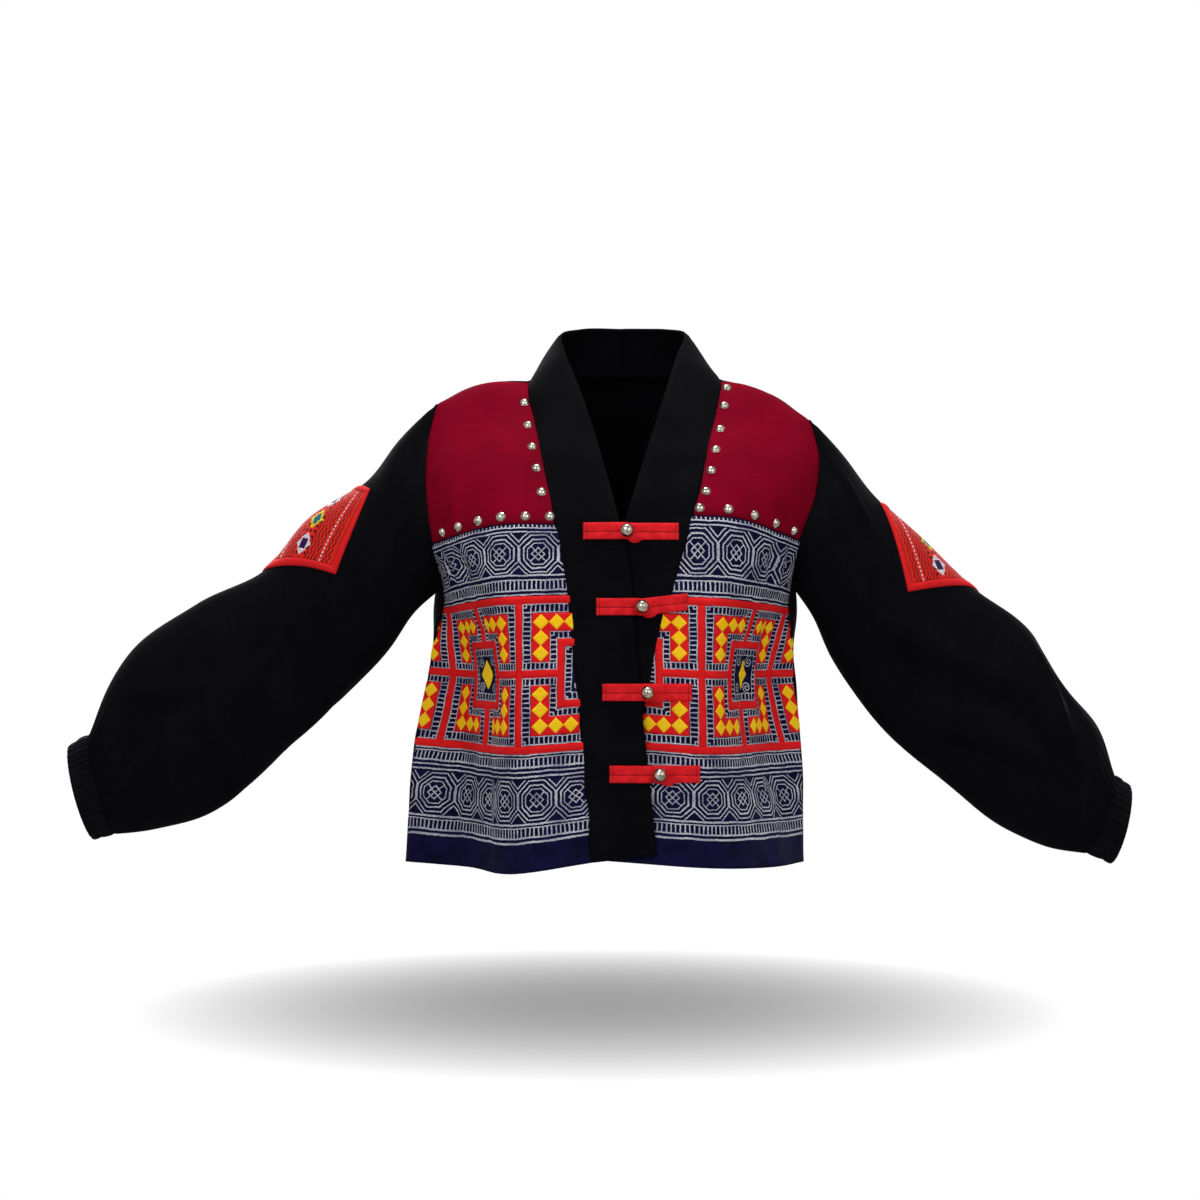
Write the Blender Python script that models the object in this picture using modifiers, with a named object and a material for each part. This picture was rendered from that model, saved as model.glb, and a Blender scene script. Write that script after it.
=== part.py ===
"""A Hmong jacket of batik and applique, held in the shape it has when worn, with no one in it.

Metres, +Z up. Sizes and tables are in millimetres, and MM turns them to metres. The origin is on
the neck's centre line at shoulder height, -Y is the front, and +X is the wearer's left. Every
piece of cloth is a surface read from a table of sections, given its wall by Solidify.
"""

import math
from collections import namedtuple

import bmesh
import bpy
import numpy as np
from mathutils import Vector

MM = 0.001

# Cloth and seams
CLOTH_WALL = 1.6
BAND_WALL = 2.2
CUFF_WALL = 2.4
SEAM_GAP = 0.3
# Where two walls meet at an angle, the gap also holds their mitre
ARMHOLE_GAP = 2.2
SIDE_GAP = 4.4
SHOULDER_GAP = 2.8
YOKE_GAP = 1.0
NECK_GAP = 0.8
STEPS = 60  # how finely a section is worked out before panels are read from it
AROUND = 24  # cells round a sleeve or a cuff
RING_POINTS = 49  # points worked out round a sleeve's ring
CUFF_LENGTH = 22
BAND_ROLL = ((-143, 4), (0, 5), (118, 2), (183, 0))  # how far the band bows out, down its seam

# Frog closures: a ball button between a strap and a strap with a loop
STRAP_WIDTH = 17
STRAP_WALL = 2.4
STRAP_CLEAR = 0.5
STRAP_SPREAD = 12  # a strap rests on the furthest cloth forward within this reach
STRAP_END_GAP = 2.4
BUTTON_RADIUS = 6.5

# Round-headed studs along two edges of each yoke
STUD_RADIUS = 4.4
STUD_HEIGHT = 2.8
STUD_INSET = 9
STUD_CLEAR = 1.1
STUD_HEM = 175  # how far down the cloth the studs along the yoke's lower edge stand
# The studs beside the band, by how far down they stand, and those along the yoke's lower edge, by
# how far the first stands from the band, how far apart they are and how many there are
StudRows = namedtuple("StudRows", "down inset pitch along")
STUDS = {
    "right": StudRows((34, 63, 93, 120, 148), 5.5, 24.6, 6),
    "left": StudRows((14, 37, 67, 97, 125, 154), 7, 29, 5),
}

# Embroidered squares on the upper sleeves
SQUARE_SIDE = 99
BINDING_WIDTH = 8
SQUARE_WALL = 1.4
SQUARE_CLEAR = 1.3
# The square's corners, as (along the sleeve, round from its top): the one nearest the shoulder, the
# one forward of it, the one behind it and the one nearest the cuff
SQUARE_CORNERS = {
    "right": ((90, 32), (141, 92), (137, -50), (234, 3)),
    "left": ((103, 13), (159, 77), (146, -64), (240, -3)),
}
SQUARE_CELLS = 7

# Places down the cloth, measured from the shoulder seam
YOKE_SEAM = 183
ARMPIT = 231
HEM = 520
NECK_BACK = -143

FrontRow = namedtuple("FrontRow", "down seam knee foot side")
FRONT = {
    "right": [
        FrontRow(-35, (-92, 25, 7), (-130, 24, -2), (-168, 22, -18), (-203, 22, -55)),
        FrontRow(0, (-98, -10, -2), (-130, -9, -2), (-164, -7, -9), (-198, -4, -27)),
        FrontRow(60, (-91, -48, -50), (-132, -50, -52), (-172, -40, -58), (-204, -22, -66)),
        FrontRow(118, (-80, -82, -98), (-130, -84, -101), (-174, -68, -107), (-204, -42, -113)),
        FrontRow(183, (-67, -108, -158), (-126, -106, -159), (-172, -80, -169), (-197, -52, -176)),
        FrontRow(231, (-58, -116, -205), (-122, -113, -207), (-166, -64, -213), (-190, -4, -219)),
        FrontRow(311, (-48, -121, -285), (-108, -121, -287), (-166, -20, -288), (-201, 0, -286)),
        FrontRow(411, (-40, -125, -385), (-106, -125, -390), (-172, -14, -390), (-220, 3, -387)),
        FrontRow(520, (-31, -128, -491), (-108, -130, -502), (-160, -44, -505), (-229, 3, -505)),
    ],
    "left": [
        FrontRow(-35, (92, 25, 9), (130, 24, -4), (168, 22, -26), (203, 22, -74)),
        FrontRow(0, (101, -10, 0), (130, -9, -6), (164, -7, -20), (198, -4, -44)),
        FrontRow(60, (92, -48, -50), (130, -50, -56), (172, -40, -68), (205, -20, -82)),
        FrontRow(118, (80, -80, -96), (122, -82, -102), (168, -62, -114), (199, -34, -124)),
        FrontRow(183, (66, -104, -149), (112, -102, -152), (156, -74, -164), (182, -46, -172)),
        FrontRow(231, (50, -111, -205), (100, -108, -207), (150, -62, -213), (177, -8, -218)),
        FrontRow(311, (30, -114, -285), (84, -116, -287), (150, -22, -288), (179, 0, -288)),
        FrontRow(411, (12, -117, -385), (80, -120, -390), (157, -14, -392), (188, 3, -391)),
        FrontRow(520, (-8, -121, -491), (82, -124, -497), (152, -62, -503), (190, 3, -505)),
    ],
}

# The band stands round the neck and crosses at the front, the right one on top
NECK_SEAM = {
    "right": [(-143, (0, 70, 16)), (-83, (-58, 58, 14))],
    "left": [(-143, (0, 70, 16)), (-83, (58, 58, 14))],
}
BAND_EDGE = {
    "right": [
        (0, 48, 64), (-45, 32, 61), (-67, 2, 50), (-61, -26, 27), (-40, -64, -30), (-24, -91, -84),
        (-7, -114, -148), (4, -121, -200), (11, -124, -281), (21, -127, -381), (32, -129, -484),
    ],
    "left": [
        (0, 48, 64), (45, 32, 61), (67, 2, 50), (57, -26, 25), (40, -62, -28), (22, -88, -84),
        (4, -108, -144), (-12, -111, -200), (-31, -113, -281), (-49, -116, -382), (-69, -119, -486),
    ],
}

# The back, row by row from the right side to the left; its top row is worked out from the fronts
BackRow = namedtuple("BackRow", "down points")
BACK = [
    BackRow(25, [
        (-202, 12, -43), (-166, 24, -13), (-130, 30, -3), (-104, 36, 0), (-94, 48, 0), (-62, 71, 2),
        (0, 84, 0), (62, 71, 2), (94, 48, 1), (106, 36, 0), (132, 30, -7), (168, 24, -27),
        (203, 12, -61),
    ]),
    BackRow(60, [
        (-204, 28, -67), (-178, 56, -54), (-134, 80, -44), (0, 98, -38), (134, 80, -50),
        (178, 54, -68), (205, 26, -84),
    ]),
    BackRow(118, [
        (-202, 46, -112), (-176, 76, -106), (-120, 102, -100), (0, 110, -98), (118, 102, -106),
        (174, 74, -116), (201, 42, -122),
    ]),
    BackRow(183, [
        (-197, 44, -176), (-172, 80, -172), (-110, 106, -168), (0, 112, -165), (106, 106, -167),
        (162, 78, -170), (184, 42, -172),
    ]),
    BackRow(231, [
        (-190, -4, -219), (-197, 16, -217), (-174, 70, -214), (-100, 104, -212), (0, 110, -210),
        (98, 104, -212), (164, 68, -214), (183, 14, -216), (177, -8, -218),
    ]),
    BackRow(311, [
        (-201, 0, -286), (-203, 10, -288), (-190, 46, -288), (-110, 94, -288), (0, 102, -288),
        (104, 94, -288), (172, 46, -288), (181, 10, -288), (179, 0, -288),
    ]),
    BackRow(411, [
        (-220, 3, -387), (-222, 12, -388), (-208, 48, -388), (-120, 96, -388), (0, 104, -388),
        (110, 96, -389), (180, 48, -390), (190, 12, -391), (188, 3, -391),
    ]),
    BackRow(520, [
        (-229, 3, -505), (-231, 12, -505), (-214, 52, -505), (-124, 104, -505), (0, 112, -505),
        (112, 104, -505), (180, 52, -505), (191, 12, -505), (190, 3, -505),
    ]),
]

# Sleeve rings: the top and the underside of each, seen from the front, and half its depth
SleeveRing = namedtuple("SleeveRing", "along top low depth")
SLEEVE = {
    "right": [
        SleeveRing(0.10, (-236, -64), (-221, -247), 46),
        SleeveRing(0.20, (-267, -103), (-247, -284), 44),
        SleeveRing(0.35, (-330, -147), (-291, -334), 42),
        SleeveRing(0.50, (-379, -202), (-340, -378), 41),
        SleeveRing(0.65, (-447, -235), (-389, -423), 42),
        SleeveRing(0.80, (-510, -279), (-444, -460), 44),
        SleeveRing(0.90, (-540, -324), (-488, -471), 40),
        SleeveRing(1.00, (-559, -371), (-530, -476), 29),
    ],
    "left": [
        SleeveRing(0.10, (233, -81), (201, -252), 46),
        SleeveRing(0.20, (263, -119), (219, -291), 44),
        SleeveRing(0.35, (317, -171), (254, -346), 42),
        SleeveRing(0.50, (371, -221), (299, -392), 41),
        SleeveRing(0.65, (427, -264), (350, -433), 42),
        SleeveRing(0.80, (467, -328), (402, -472), 44),
        SleeveRing(0.90, (498, -366), (441, -489), 38),
        SleeveRing(1.00, (514, -413), (483, -496), 29),
    ],
}
SLEEVE_LENGTH = 470  # along the middle of the cloth, which places the squares
CUFF = {
    "right": [
        SleeveRing(0.0, (-559, -371), (-530, -476), 29),
        SleeveRing(0.5, (-570, -376), (-541, -479), 28),
        SleeveRing(1.0, (-580, -383), (-553, -482), 31),
    ],
    "left": [
        SleeveRing(0.0, (514, -413), (483, -496), 29),
        SleeveRing(0.5, (522, -418), (496, -501), 28),
        SleeveRing(1.0, (530, -424), (509, -507), 31),
    ],
}

Frog = namedtuple("Frog", "x z outer_right outer_left lift")
FROGS = [
    Frog(2, -166, -41, 54, 0),
    Frog(17, -241, -28, 62, 5),
    Frog(22, -325, -22, 66, 0),
    Frog(34, -405, -15, 74, 0),
]


# Curves and surfaces

def spline(points, knots, at):
    """The smooth curve that passes each of the points at its knot, read at each value in at."""
    points, knots, at = np.asarray(points, float), np.asarray(knots, float), np.asarray(at, float)
    slopes = np.gradient(points, knots, axis=0)
    span = np.clip(np.searchsorted(knots, at, side="right") - 1, 0, len(knots) - 2)
    shape = (-1,) + (1,) * (points.ndim - 1)
    width = (knots[span + 1] - knots[span]).reshape(shape)
    t = (at - knots[span]).reshape(shape) / width
    start = (1 + 2 * t) * (1 - t) ** 2 * points[span] + t * (1 - t) ** 2 * width * slopes[span]
    end = t * t * (3 - 2 * t) * points[span + 1] + t * t * (t - 1) * width * slopes[span + 1]
    return start + end


def evenly(points, steps):
    """The smooth curve through the points, read at steps equal lengths along it."""
    points = np.asarray(points, float)
    knots = np.append(0, np.cumsum(np.linalg.norm(np.diff(points, axis=0), axis=1) ** 0.5))
    fine = spline(points, knots, np.linspace(0, knots[-1], 12 * steps))
    lengths = np.append(0, np.cumsum(np.linalg.norm(np.diff(fine, axis=0), axis=1)))
    wanted = np.linspace(0, lengths[-1], steps + 1)
    return np.stack([np.interp(wanted, lengths, fine[:, axis]) for axis in range(3)], axis=1)


def surface(sections, knots, down, across):
    """The smooth surface through the sections, read at each pair of down and across."""
    rows = spline(sections, knots, down)
    columns = spline(rows.swapaxes(0, 1), np.linspace(0, 1, rows.shape[1]), across)
    return columns.swapaxes(0, 1)


def steps_between(stops):
    """Places down the cloth: each stop, and the given number of even steps to the next."""
    places = [stops[0][0]]
    for (start, steps), (end, _) in zip(stops, stops[1:]):
        places.extend(np.linspace(start, end, steps + 1)[1:])
    return np.array(places)


YOKE_DOWN = steps_between([(0, 2), (60, 2), (118, 2), (YOKE_SEAM, 0)])
BODY_DOWN = steps_between([(YOKE_SEAM, 2), (ARMPIT, 3), (311, 3), (411, 4), (HEM, 0)])
NECK_DOWN = steps_between([(NECK_BACK, 3), (-83, 2), (-35, 2), (0, 0)])
BACK_DOWN = steps_between([(0, 1), (25, 1), (60, 2), (118, 2), (YOKE_SEAM, 2), (ARMPIT, 3),
                           (311, 3), (411, 4), (HEM, 0)])


def front(side, down, across):
    """One front: across runs from 0 at the band seam to 1 at the armhole or the side seam."""
    rows = FRONT[side]
    sections = [evenly([row.seam, row.knee, row.foot, row.side], STEPS) for row in rows]
    return surface(np.array(sections), [row.down for row in rows], down, across)


def band_seam(side, down):
    """The line where a band is sewn to the neck and the front, from the back of the neck down."""
    places = NECK_SEAM[side] + [(row.down, row.seam) for row in FRONT[side]]
    return spline([point for _, point in places], [at for at, _ in places], down)


def band(side, down, across):
    """One half of the band: across runs from 0 at the seam to 1 at the free edge."""
    knots = [at for at, _ in NECK_SEAM[side]] + [row.down for row in FRONT[side]]
    edge = spline(BAND_EDGE[side], knots, down)
    seam = band_seam(side, down)
    across = np.asarray(across, float).reshape(1, -1, 1)
    roll = np.interp(down, *zip(*BAND_ROLL)).reshape(-1, 1, 1)
    outward = np.stack([seam[:, 0] * 0.8, seam[:, 1], 0 * seam[:, 2]], axis=1)
    outward /= np.linalg.norm(outward, axis=1, keepdims=True)
    flat = seam[:, None] + (edge - seam)[:, None] * across
    return flat + roll * (4 * across * (1 - across)) * outward[:, None]


def back_top():
    """The back's upper edge: the right shoulder seam, the neck and the left shoulder seam."""
    shoulder = np.linspace(1, 0, 6)
    neck = np.linspace(0, NECK_BACK, 8)
    right = [*front("right", [0], shoulder)[0], *band_seam("right", neck[1:])]
    left = [*front("left", [0], shoulder)[0], *band_seam("left", neck[1:])]
    return np.array(right + left[-2::-1])


def back(down, across):
    """The back: across runs from 0 at the right side to 1 at the left."""
    top = back_top()
    sections = [top] + [evenly(row.points, len(top) - 1) for row in BACK]
    return surface(np.array(sections), [0] + [row.down for row in BACK], down, across)


def armhole(side):
    """The armhole's edge, from the shoulder down the front to the armpit and up the back."""
    side_of_back = {"right": 0, "left": 1}[side]
    before = front(side, np.linspace(0, ARMPIT, STEPS), [1])[:, 0]
    behind = back(np.linspace(ARMPIT, 0, STEPS), [side_of_back])[:, 0]
    ring = np.concatenate([evenly(before, STEPS // 2), evenly(behind, STEPS // 2)[1:]])
    outward = {"right": -1, "left": 1}[side]
    return ring + np.array([outward * ARMHOLE_GAP, 0, 0])


def oval(ring):
    """A sleeve ring, from its top round the front to its underside and back up behind."""
    top = np.array([ring.top[0], 0, ring.top[1]], float)
    low = np.array([ring.low[0], 0, ring.low[1]], float)
    angle = np.linspace(0, 2 * math.pi, RING_POINTS).reshape(-1, 1)
    depth = np.array([0, -ring.depth, 0])
    return evenly((top + low) / 2 + np.cos(angle) * (top - low) / 2 + np.sin(angle) * depth, STEPS)


def sleeve(side, along, around):
    sections = [armhole(side)] + [oval(ring) for ring in SLEEVE[side]]
    return surface(np.array(sections), [0] + [r.along for r in SLEEVE[side]], along, around)


def cuff(side, along, around):
    sections = [oval(ring) for ring in CUFF[side]]
    return surface(np.array(sections), [ring.along for ring in CUFF[side]], along, around)


def facing(read, first, second, nudge=(1.0, 0.004)):
    """The point at (first, second) of a surface, and the unit normal there."""
    a, b = nudge
    around = read([first - a, first, first + a], [second - b, second, second + b])
    normal = np.cross(around[2, 1] - around[0, 1], around[1, 2] - around[1, 0])
    return around[1, 1], normal / np.linalg.norm(normal)


# Making objects

def clear_scene():
    for obj in list(bpy.data.objects):
        bpy.data.objects.remove(obj, do_unlink=True)


def finish(name, hex_colour, roughness, metallic=0.0):
    """A plain material of one colour, given as sRGB hex."""
    channels = [int(hex_colour[i:i + 2], 16) / 255 for i in (0, 2, 4)]
    linear = [c / 12.92 if c <= 0.04045 else ((c + 0.055) / 1.055) ** 2.4 for c in channels]
    material = bpy.data.materials.new(name)
    material.use_nodes = True
    shader = material.node_tree.nodes["Principled BSDF"]
    shader.inputs["Base Color"].default_value = (*linear, 1)
    shader.inputs["Roughness"].default_value = roughness
    shader.inputs["Metallic"].default_value = metallic
    return material


def add_object(name, mesh, material):
    mesh.materials.clear()
    mesh.materials.append(material)
    obj = bpy.data.objects.new(name, mesh)
    collection.objects.link(obj)
    obj.parent = jacket
    return obj


def cloth_shell(name, points, wall, material, flip=False, tube=False, frame=False):
    """A sheet of cloth through a grid of points, given its wall inwards.

    A tube's last column meets its first, and a frame keeps only the outer ring of cells.
    """
    rows, columns = points.shape[:2]
    bm = bmesh.new()
    bmesh.ops.create_grid(bm, x_segments=columns - 1, y_segments=rows - 1, size=0.5)
    if frame:
        inner = 0.5 - 1 / (columns - 1)
        middle = [f for f in bm.faces if max(map(abs, f.calc_center_median()[:2])) < inner]
        bmesh.ops.delete(bm, geom=middle, context="FACES")
    for vert in bm.verts:
        column = round((vert.co.x + 0.5) * (columns - 1))
        row = round((vert.co.y + 0.5) * (rows - 1))
        vert.co = Vector(points[row, column]) * MM
    if tube:
        bmesh.ops.remove_doubles(bm, verts=bm.verts, dist=1e-6)
    if flip:
        bmesh.ops.reverse_faces(bm, faces=bm.faces)
    mesh = bpy.data.meshes.new(name)
    bm.to_mesh(mesh)
    bm.free()
    mesh.shade_smooth()
    obj = add_object(name, mesh, material)
    solidify = obj.modifiers.new("Wall", "SOLIDIFY")
    solidify.thickness = wall * MM
    solidify.offset = -1
    solidify.use_even_offset = True
    return obj


# The pieces

def gap_of(points, length):
    """The share of each row that a length takes up, for rows of about this width."""
    widths = np.linalg.norm(np.diff(points, axis=1), axis=2).sum(axis=1)
    return length / widths.mean()


def make_front(side):
    """A front's crimson yoke and, below it, its batik panel. They share one surface."""
    for name, places, columns, cloth, trims in (
        ("yoke", YOKE_DOWN, 7, "crimson", (SHOULDER_GAP, -YOKE_GAP / 2)),
        ("front", BODY_DOWN, 12, "batik", (YOKE_GAP / 2, 0)),
    ):
        down = places.copy()
        down[0] += trims[0]
        down[-1] += trims[1]
        side_gap = gap_of(front(side, down, np.linspace(0, 1, 9)), SIDE_GAP)
        points = front(side, down, np.linspace(0, 1 - side_gap, columns + 1))
        cloth_shell(f"{name}_{side}", points, CLOTH_WALL, finishes[cloth], flip=side == "left")


def make_band(side):
    down = np.concatenate([NECK_DOWN, YOKE_DOWN[1:], BODY_DOWN[1:]])
    points = band(side, down, np.linspace(0, 1, 4))
    gap = gap_of(points, NECK_GAP)
    points = band(side, down, np.linspace(gap, 1, 4))
    outward = {"right": -1, "left": 1}[side]
    points[0, :, 0] = outward * NECK_GAP  # the two halves meet at the back of the neck
    cloth_shell(f"band_{side}", points, BAND_WALL, finishes["black"], flip=side == "right")


def make_back():
    points = back(BACK_DOWN, np.linspace(0, 1, 25))
    cloth_shell("back", points, CLOTH_WALL, finishes["black"])


def make_sleeve(side):
    around = np.linspace(0, 1, AROUND + 1)
    along = steps_between([(0, 2), (0.1, 1), (0.2, 2), (0.35, 1), (0.5, 1), (0.65, 2), (0.8, 1),
                           (0.9, 2), (1, 0)])
    points = sleeve(side, along, around)
    flip = side == "right"
    cloth_shell(f"sleeve_{side}", points, CLOTH_WALL, finishes["black"], flip=flip, tube=True)
    points = cuff(side, np.linspace(SEAM_GAP / CUFF_LENGTH, 1, 4), around)
    cloth_shell(f"cuff_{side}", points, CUFF_WALL, finishes["elastic"], flip=flip, tube=True)


def on_square(side, first, second):
    """A point of a sleeve's square, clear of the sleeve; first and second run along its sides."""
    near, forward, behind, far = np.array(SQUARE_CORNERS[side], float)
    a, b = first / SQUARE_SIDE, second / SQUARE_SIDE
    along, around = ((near * (1 - a) + forward * a) * (1 - b) + (behind * (1 - a) + far * a) * b)
    ring = sleeve(side, [along / SLEEVE_LENGTH], np.linspace(0, 1, RING_POINTS))[0]
    girth = np.linalg.norm(np.diff(ring, axis=0), axis=1).sum()

    def read(places, rounds):
        rows = sleeve(side, places, np.asarray(rounds) % 1)
        return rows if side == "left" else rows[:, ::-1]

    point, normal = facing(read, along / SLEEVE_LENGTH, around / girth, (0.004, 0.004))
    outward = normal if np.dot(normal, point - ring.mean(axis=0)) > 0 else -normal
    return point + outward * (SQUARE_CLEAR + SQUARE_WALL)


def make_square(side):
    far = SQUARE_SIDE - BINDING_WIDTH
    inner = np.linspace(BINDING_WIDTH + SEAM_GAP, far - SEAM_GAP, SQUARE_CELLS)
    outer = np.concatenate([[0, BINDING_WIDTH], inner[1:-1], [far, SQUARE_SIDE]])
    for name, places, cloth, frame in (
        ("square", inner, "embroidery", False),
        ("square_binding", outer, "red", True),
    ):
        points = np.array([[on_square(side, a, b) for a in places] for b in places])
        cloth_shell(f"{name}_{side}", points, SQUARE_WALL, finishes[cloth], frame=frame,
                    flip=side == "left")


def front_samples():
    """Points all over the two fronts and their bands, close enough together to rest things on."""
    across = np.linspace(0, 1, 40)
    down = np.arange(120, HEM, 3)
    sheets = [piece(side, down, across) for piece in (front, band) for side in FRONT]
    return np.concatenate([sheet.reshape(-1, 3) for sheet in sheets])


def in_front_of(samples, x, z):
    """How far forward the cloth comes near (x, z), over the width of its own edge."""
    near = (samples[:, 0] - x) ** 2 + (samples[:, 2] - z) ** 2 < STRAP_SPREAD ** 2
    return samples[near, 1].min()


def make_frogs():
    samples = front_samples()
    sphere = bmesh.new()
    bmesh.ops.create_uvsphere(sphere, u_segments=12, v_segments=8, radius=BUTTON_RADIUS * MM)
    ball = bpy.data.meshes.new("ball")
    sphere.to_mesh(ball)
    sphere.free()
    ball.shade_smooth()
    for number, frog in enumerate(FROGS, 1):
        for name, start, end, lift in (
            ("strap", frog.outer_right, frog.x - STRAP_END_GAP / 2, 0),
            ("loop", frog.x + STRAP_END_GAP / 2, frog.outer_left, frog.lift),
        ):
            points = np.array([[
                (x, 0, frog.z + up + lift * (x - start) / (end - start))
                for x in np.linspace(start, end, 6)] for up in (STRAP_WIDTH / 2, 0, -STRAP_WIDTH / 2)])
            for point in points.reshape(-1, 3):
                point[1] = in_front_of(samples, point[0], point[2]) - STRAP_CLEAR - STRAP_WALL
            cloth_shell(f"frog_{name}_{number}", points, STRAP_WALL, finishes["red"], flip=True)
        button = add_object(f"button_{number}", ball, finishes["silver"])
        ahead = in_front_of(samples, frog.x - BUTTON_RADIUS, frog.z)
        ahead -= 2 * STRAP_CLEAR + STRAP_WALL + BUTTON_RADIUS
        button.location = Vector((frog.x, ahead, frog.z)) * MM


def stud_mesh():
    """A low dome with a flat base, made from a ball cut at its middle and flattened."""
    bm = bmesh.new()
    bmesh.ops.create_uvsphere(bm, u_segments=10, v_segments=6, radius=STUD_RADIUS * MM)
    everything = bm.verts[:] + bm.edges[:] + bm.faces[:]
    bmesh.ops.bisect_plane(bm, geom=everything, plane_co=(0, 0, 0), plane_no=(0, 0, 1),
                           dist=1e-7, clear_inner=True)
    bmesh.ops.holes_fill(bm, edges=[edge for edge in bm.edges if edge.is_boundary], sides=0)
    bmesh.ops.scale(bm, vec=(1, 1, STUD_HEIGHT / STUD_RADIUS), verts=bm.verts)
    bmesh.ops.recalc_face_normals(bm, faces=bm.faces)
    mesh = bpy.data.meshes.new("stud")
    bm.to_mesh(mesh)
    bm.free()
    mesh.shade_smooth()
    return mesh


def make_studs(side):
    """Studs down the band seam to the yoke's lower corner, and on along its lower edge."""
    row = front(side, [STUD_HEM], np.linspace(0, 1, 30))[0]
    width = np.linalg.norm(np.diff(row, axis=0), axis=1).sum()
    rows = STUDS[side]
    places = [(down, STUD_INSET) for down in rows.down]
    places += [(STUD_HEM, rows.inset + n * rows.pitch) for n in range(rows.along)]
    for number, (down, inset) in enumerate(places, 1):
        point, normal = facing(lambda d, a: front(side, d, a), down, inset / width)
        if normal[1] > 0:
            normal = -normal
        stud = add_object(f"stud_{side}_{number:02d}", dome, finishes["silver"])
        stud.location = Vector(point + normal * STUD_CLEAR) * MM
        stud.rotation_mode = "QUATERNION"
        stud.rotation_quaternion = Vector(normal).to_track_quat("Z", "Y")


clear_scene()
collection = bpy.data.collections.new("hmong_jacket")
bpy.context.scene.collection.children.link(collection)
jacket = bpy.data.objects.new("jacket", None)
collection.objects.link(jacket)
finishes = {
    "crimson": finish("crimson_cotton", "7f0820", 0.8),
    "batik": finish("indigo_batik", "1a1444", 0.85),
    "black": finish("black_cotton", "0c0c10", 0.9),
    "elastic": finish("gathered_black_cotton", "08080a", 0.9),
    "embroidery": finish("orange_red_embroidery", "e03020", 0.7),
    "red": finish("red_cotton", "d81e26", 0.8),
    "silver": finish("silver_alloy", "c8c4bc", 0.25, 1.0),
}
dome = stud_mesh()
make_back()
for wearer_side in ("right", "left"):
    make_front(wearer_side)
    make_band(wearer_side)
    make_sleeve(wearer_side)
    make_square(wearer_side)
    make_studs(wearer_side)
make_frogs()
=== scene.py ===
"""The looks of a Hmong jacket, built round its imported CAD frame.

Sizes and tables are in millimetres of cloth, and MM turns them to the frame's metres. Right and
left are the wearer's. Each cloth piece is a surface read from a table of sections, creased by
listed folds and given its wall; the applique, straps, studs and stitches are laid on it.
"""

import math
from collections import namedtuple
from functools import partial

import bmesh
import bpy
import numpy as np
from mathutils import Matrix, Vector


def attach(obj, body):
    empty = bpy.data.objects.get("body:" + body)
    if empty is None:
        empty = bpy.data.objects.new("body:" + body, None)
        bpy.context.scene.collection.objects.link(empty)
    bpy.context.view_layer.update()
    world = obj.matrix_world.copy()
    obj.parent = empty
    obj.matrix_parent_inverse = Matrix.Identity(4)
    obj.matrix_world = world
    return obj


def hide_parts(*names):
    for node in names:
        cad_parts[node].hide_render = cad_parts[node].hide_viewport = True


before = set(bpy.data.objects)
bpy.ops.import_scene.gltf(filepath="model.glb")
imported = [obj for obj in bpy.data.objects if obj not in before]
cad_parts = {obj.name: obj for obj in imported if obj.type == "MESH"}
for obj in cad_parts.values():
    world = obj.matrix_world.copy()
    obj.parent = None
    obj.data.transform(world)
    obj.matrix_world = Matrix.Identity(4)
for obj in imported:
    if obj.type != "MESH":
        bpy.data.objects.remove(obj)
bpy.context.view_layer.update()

MM = 0.001

# Cloth and seams
CLOTH_WALL = 1.6
BAND_WALL = 2.2
CUFF_WALL = 2.4
ARMHOLE_GAP = 0.3
STEPS = 60  # how finely a section is worked out before cloth is read from it
RING_POINTS = 49  # points worked out round a sleeve's ring
CUFF_LENGTH = 22
BAND_ROLL = ((-143, 4), (0, 5), (118, 2), (183, 0))  # how far the band bows out, down its seam

# Frog closures: a ball button between a strap and a strap with a loop
STRAP_WIDTH = 17
STRAP_WALL = 2.4
STRAP_CLEAR = 0.5
STRAP_SPREAD = 12  # a strap rests on the furthest cloth forward within this reach
BUTTON_RADIUS = 6.5

# Round-headed studs along two edges of each yoke
STUD_RADIUS = 4.4
STUD_HEIGHT = 2.8
STUD_INSET = 9
STUD_HEM = 175  # how far down the cloth the studs along the yoke's lower edge stand
# The studs beside the band, by how far down they stand, and those along the yoke's lower edge, by
# how far the first stands from the band, how far apart they are and how many there are
StudRows = namedtuple("StudRows", "down inset pitch along")
STUDS = {
    "right": StudRows((34, 63, 93, 120, 148), 5.5, 24.6, 6),
    "left": StudRows((14, 37, 67, 97, 125, 154), 7, 29, 5),
}

# Embroidered squares on the upper sleeves
SQUARE_SIDE = 99
BINDING_WIDTH = 8
# The square's corners, as (along the sleeve, round from its top): the one nearest the shoulder, the
# one forward of it, the one behind it and the one nearest the cuff
SQUARE_CORNERS = {
    "right": ((90, 32), (141, 92), (137, -50), (234, 3)),
    "left": ((103, 13), (159, 77), (146, -64), (240, -3)),
}

# Places down the cloth, measured from the shoulder seam
YOKE_SEAM = 183
ARMPIT = 231
HEM = 520
NECK_BACK = -143

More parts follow.
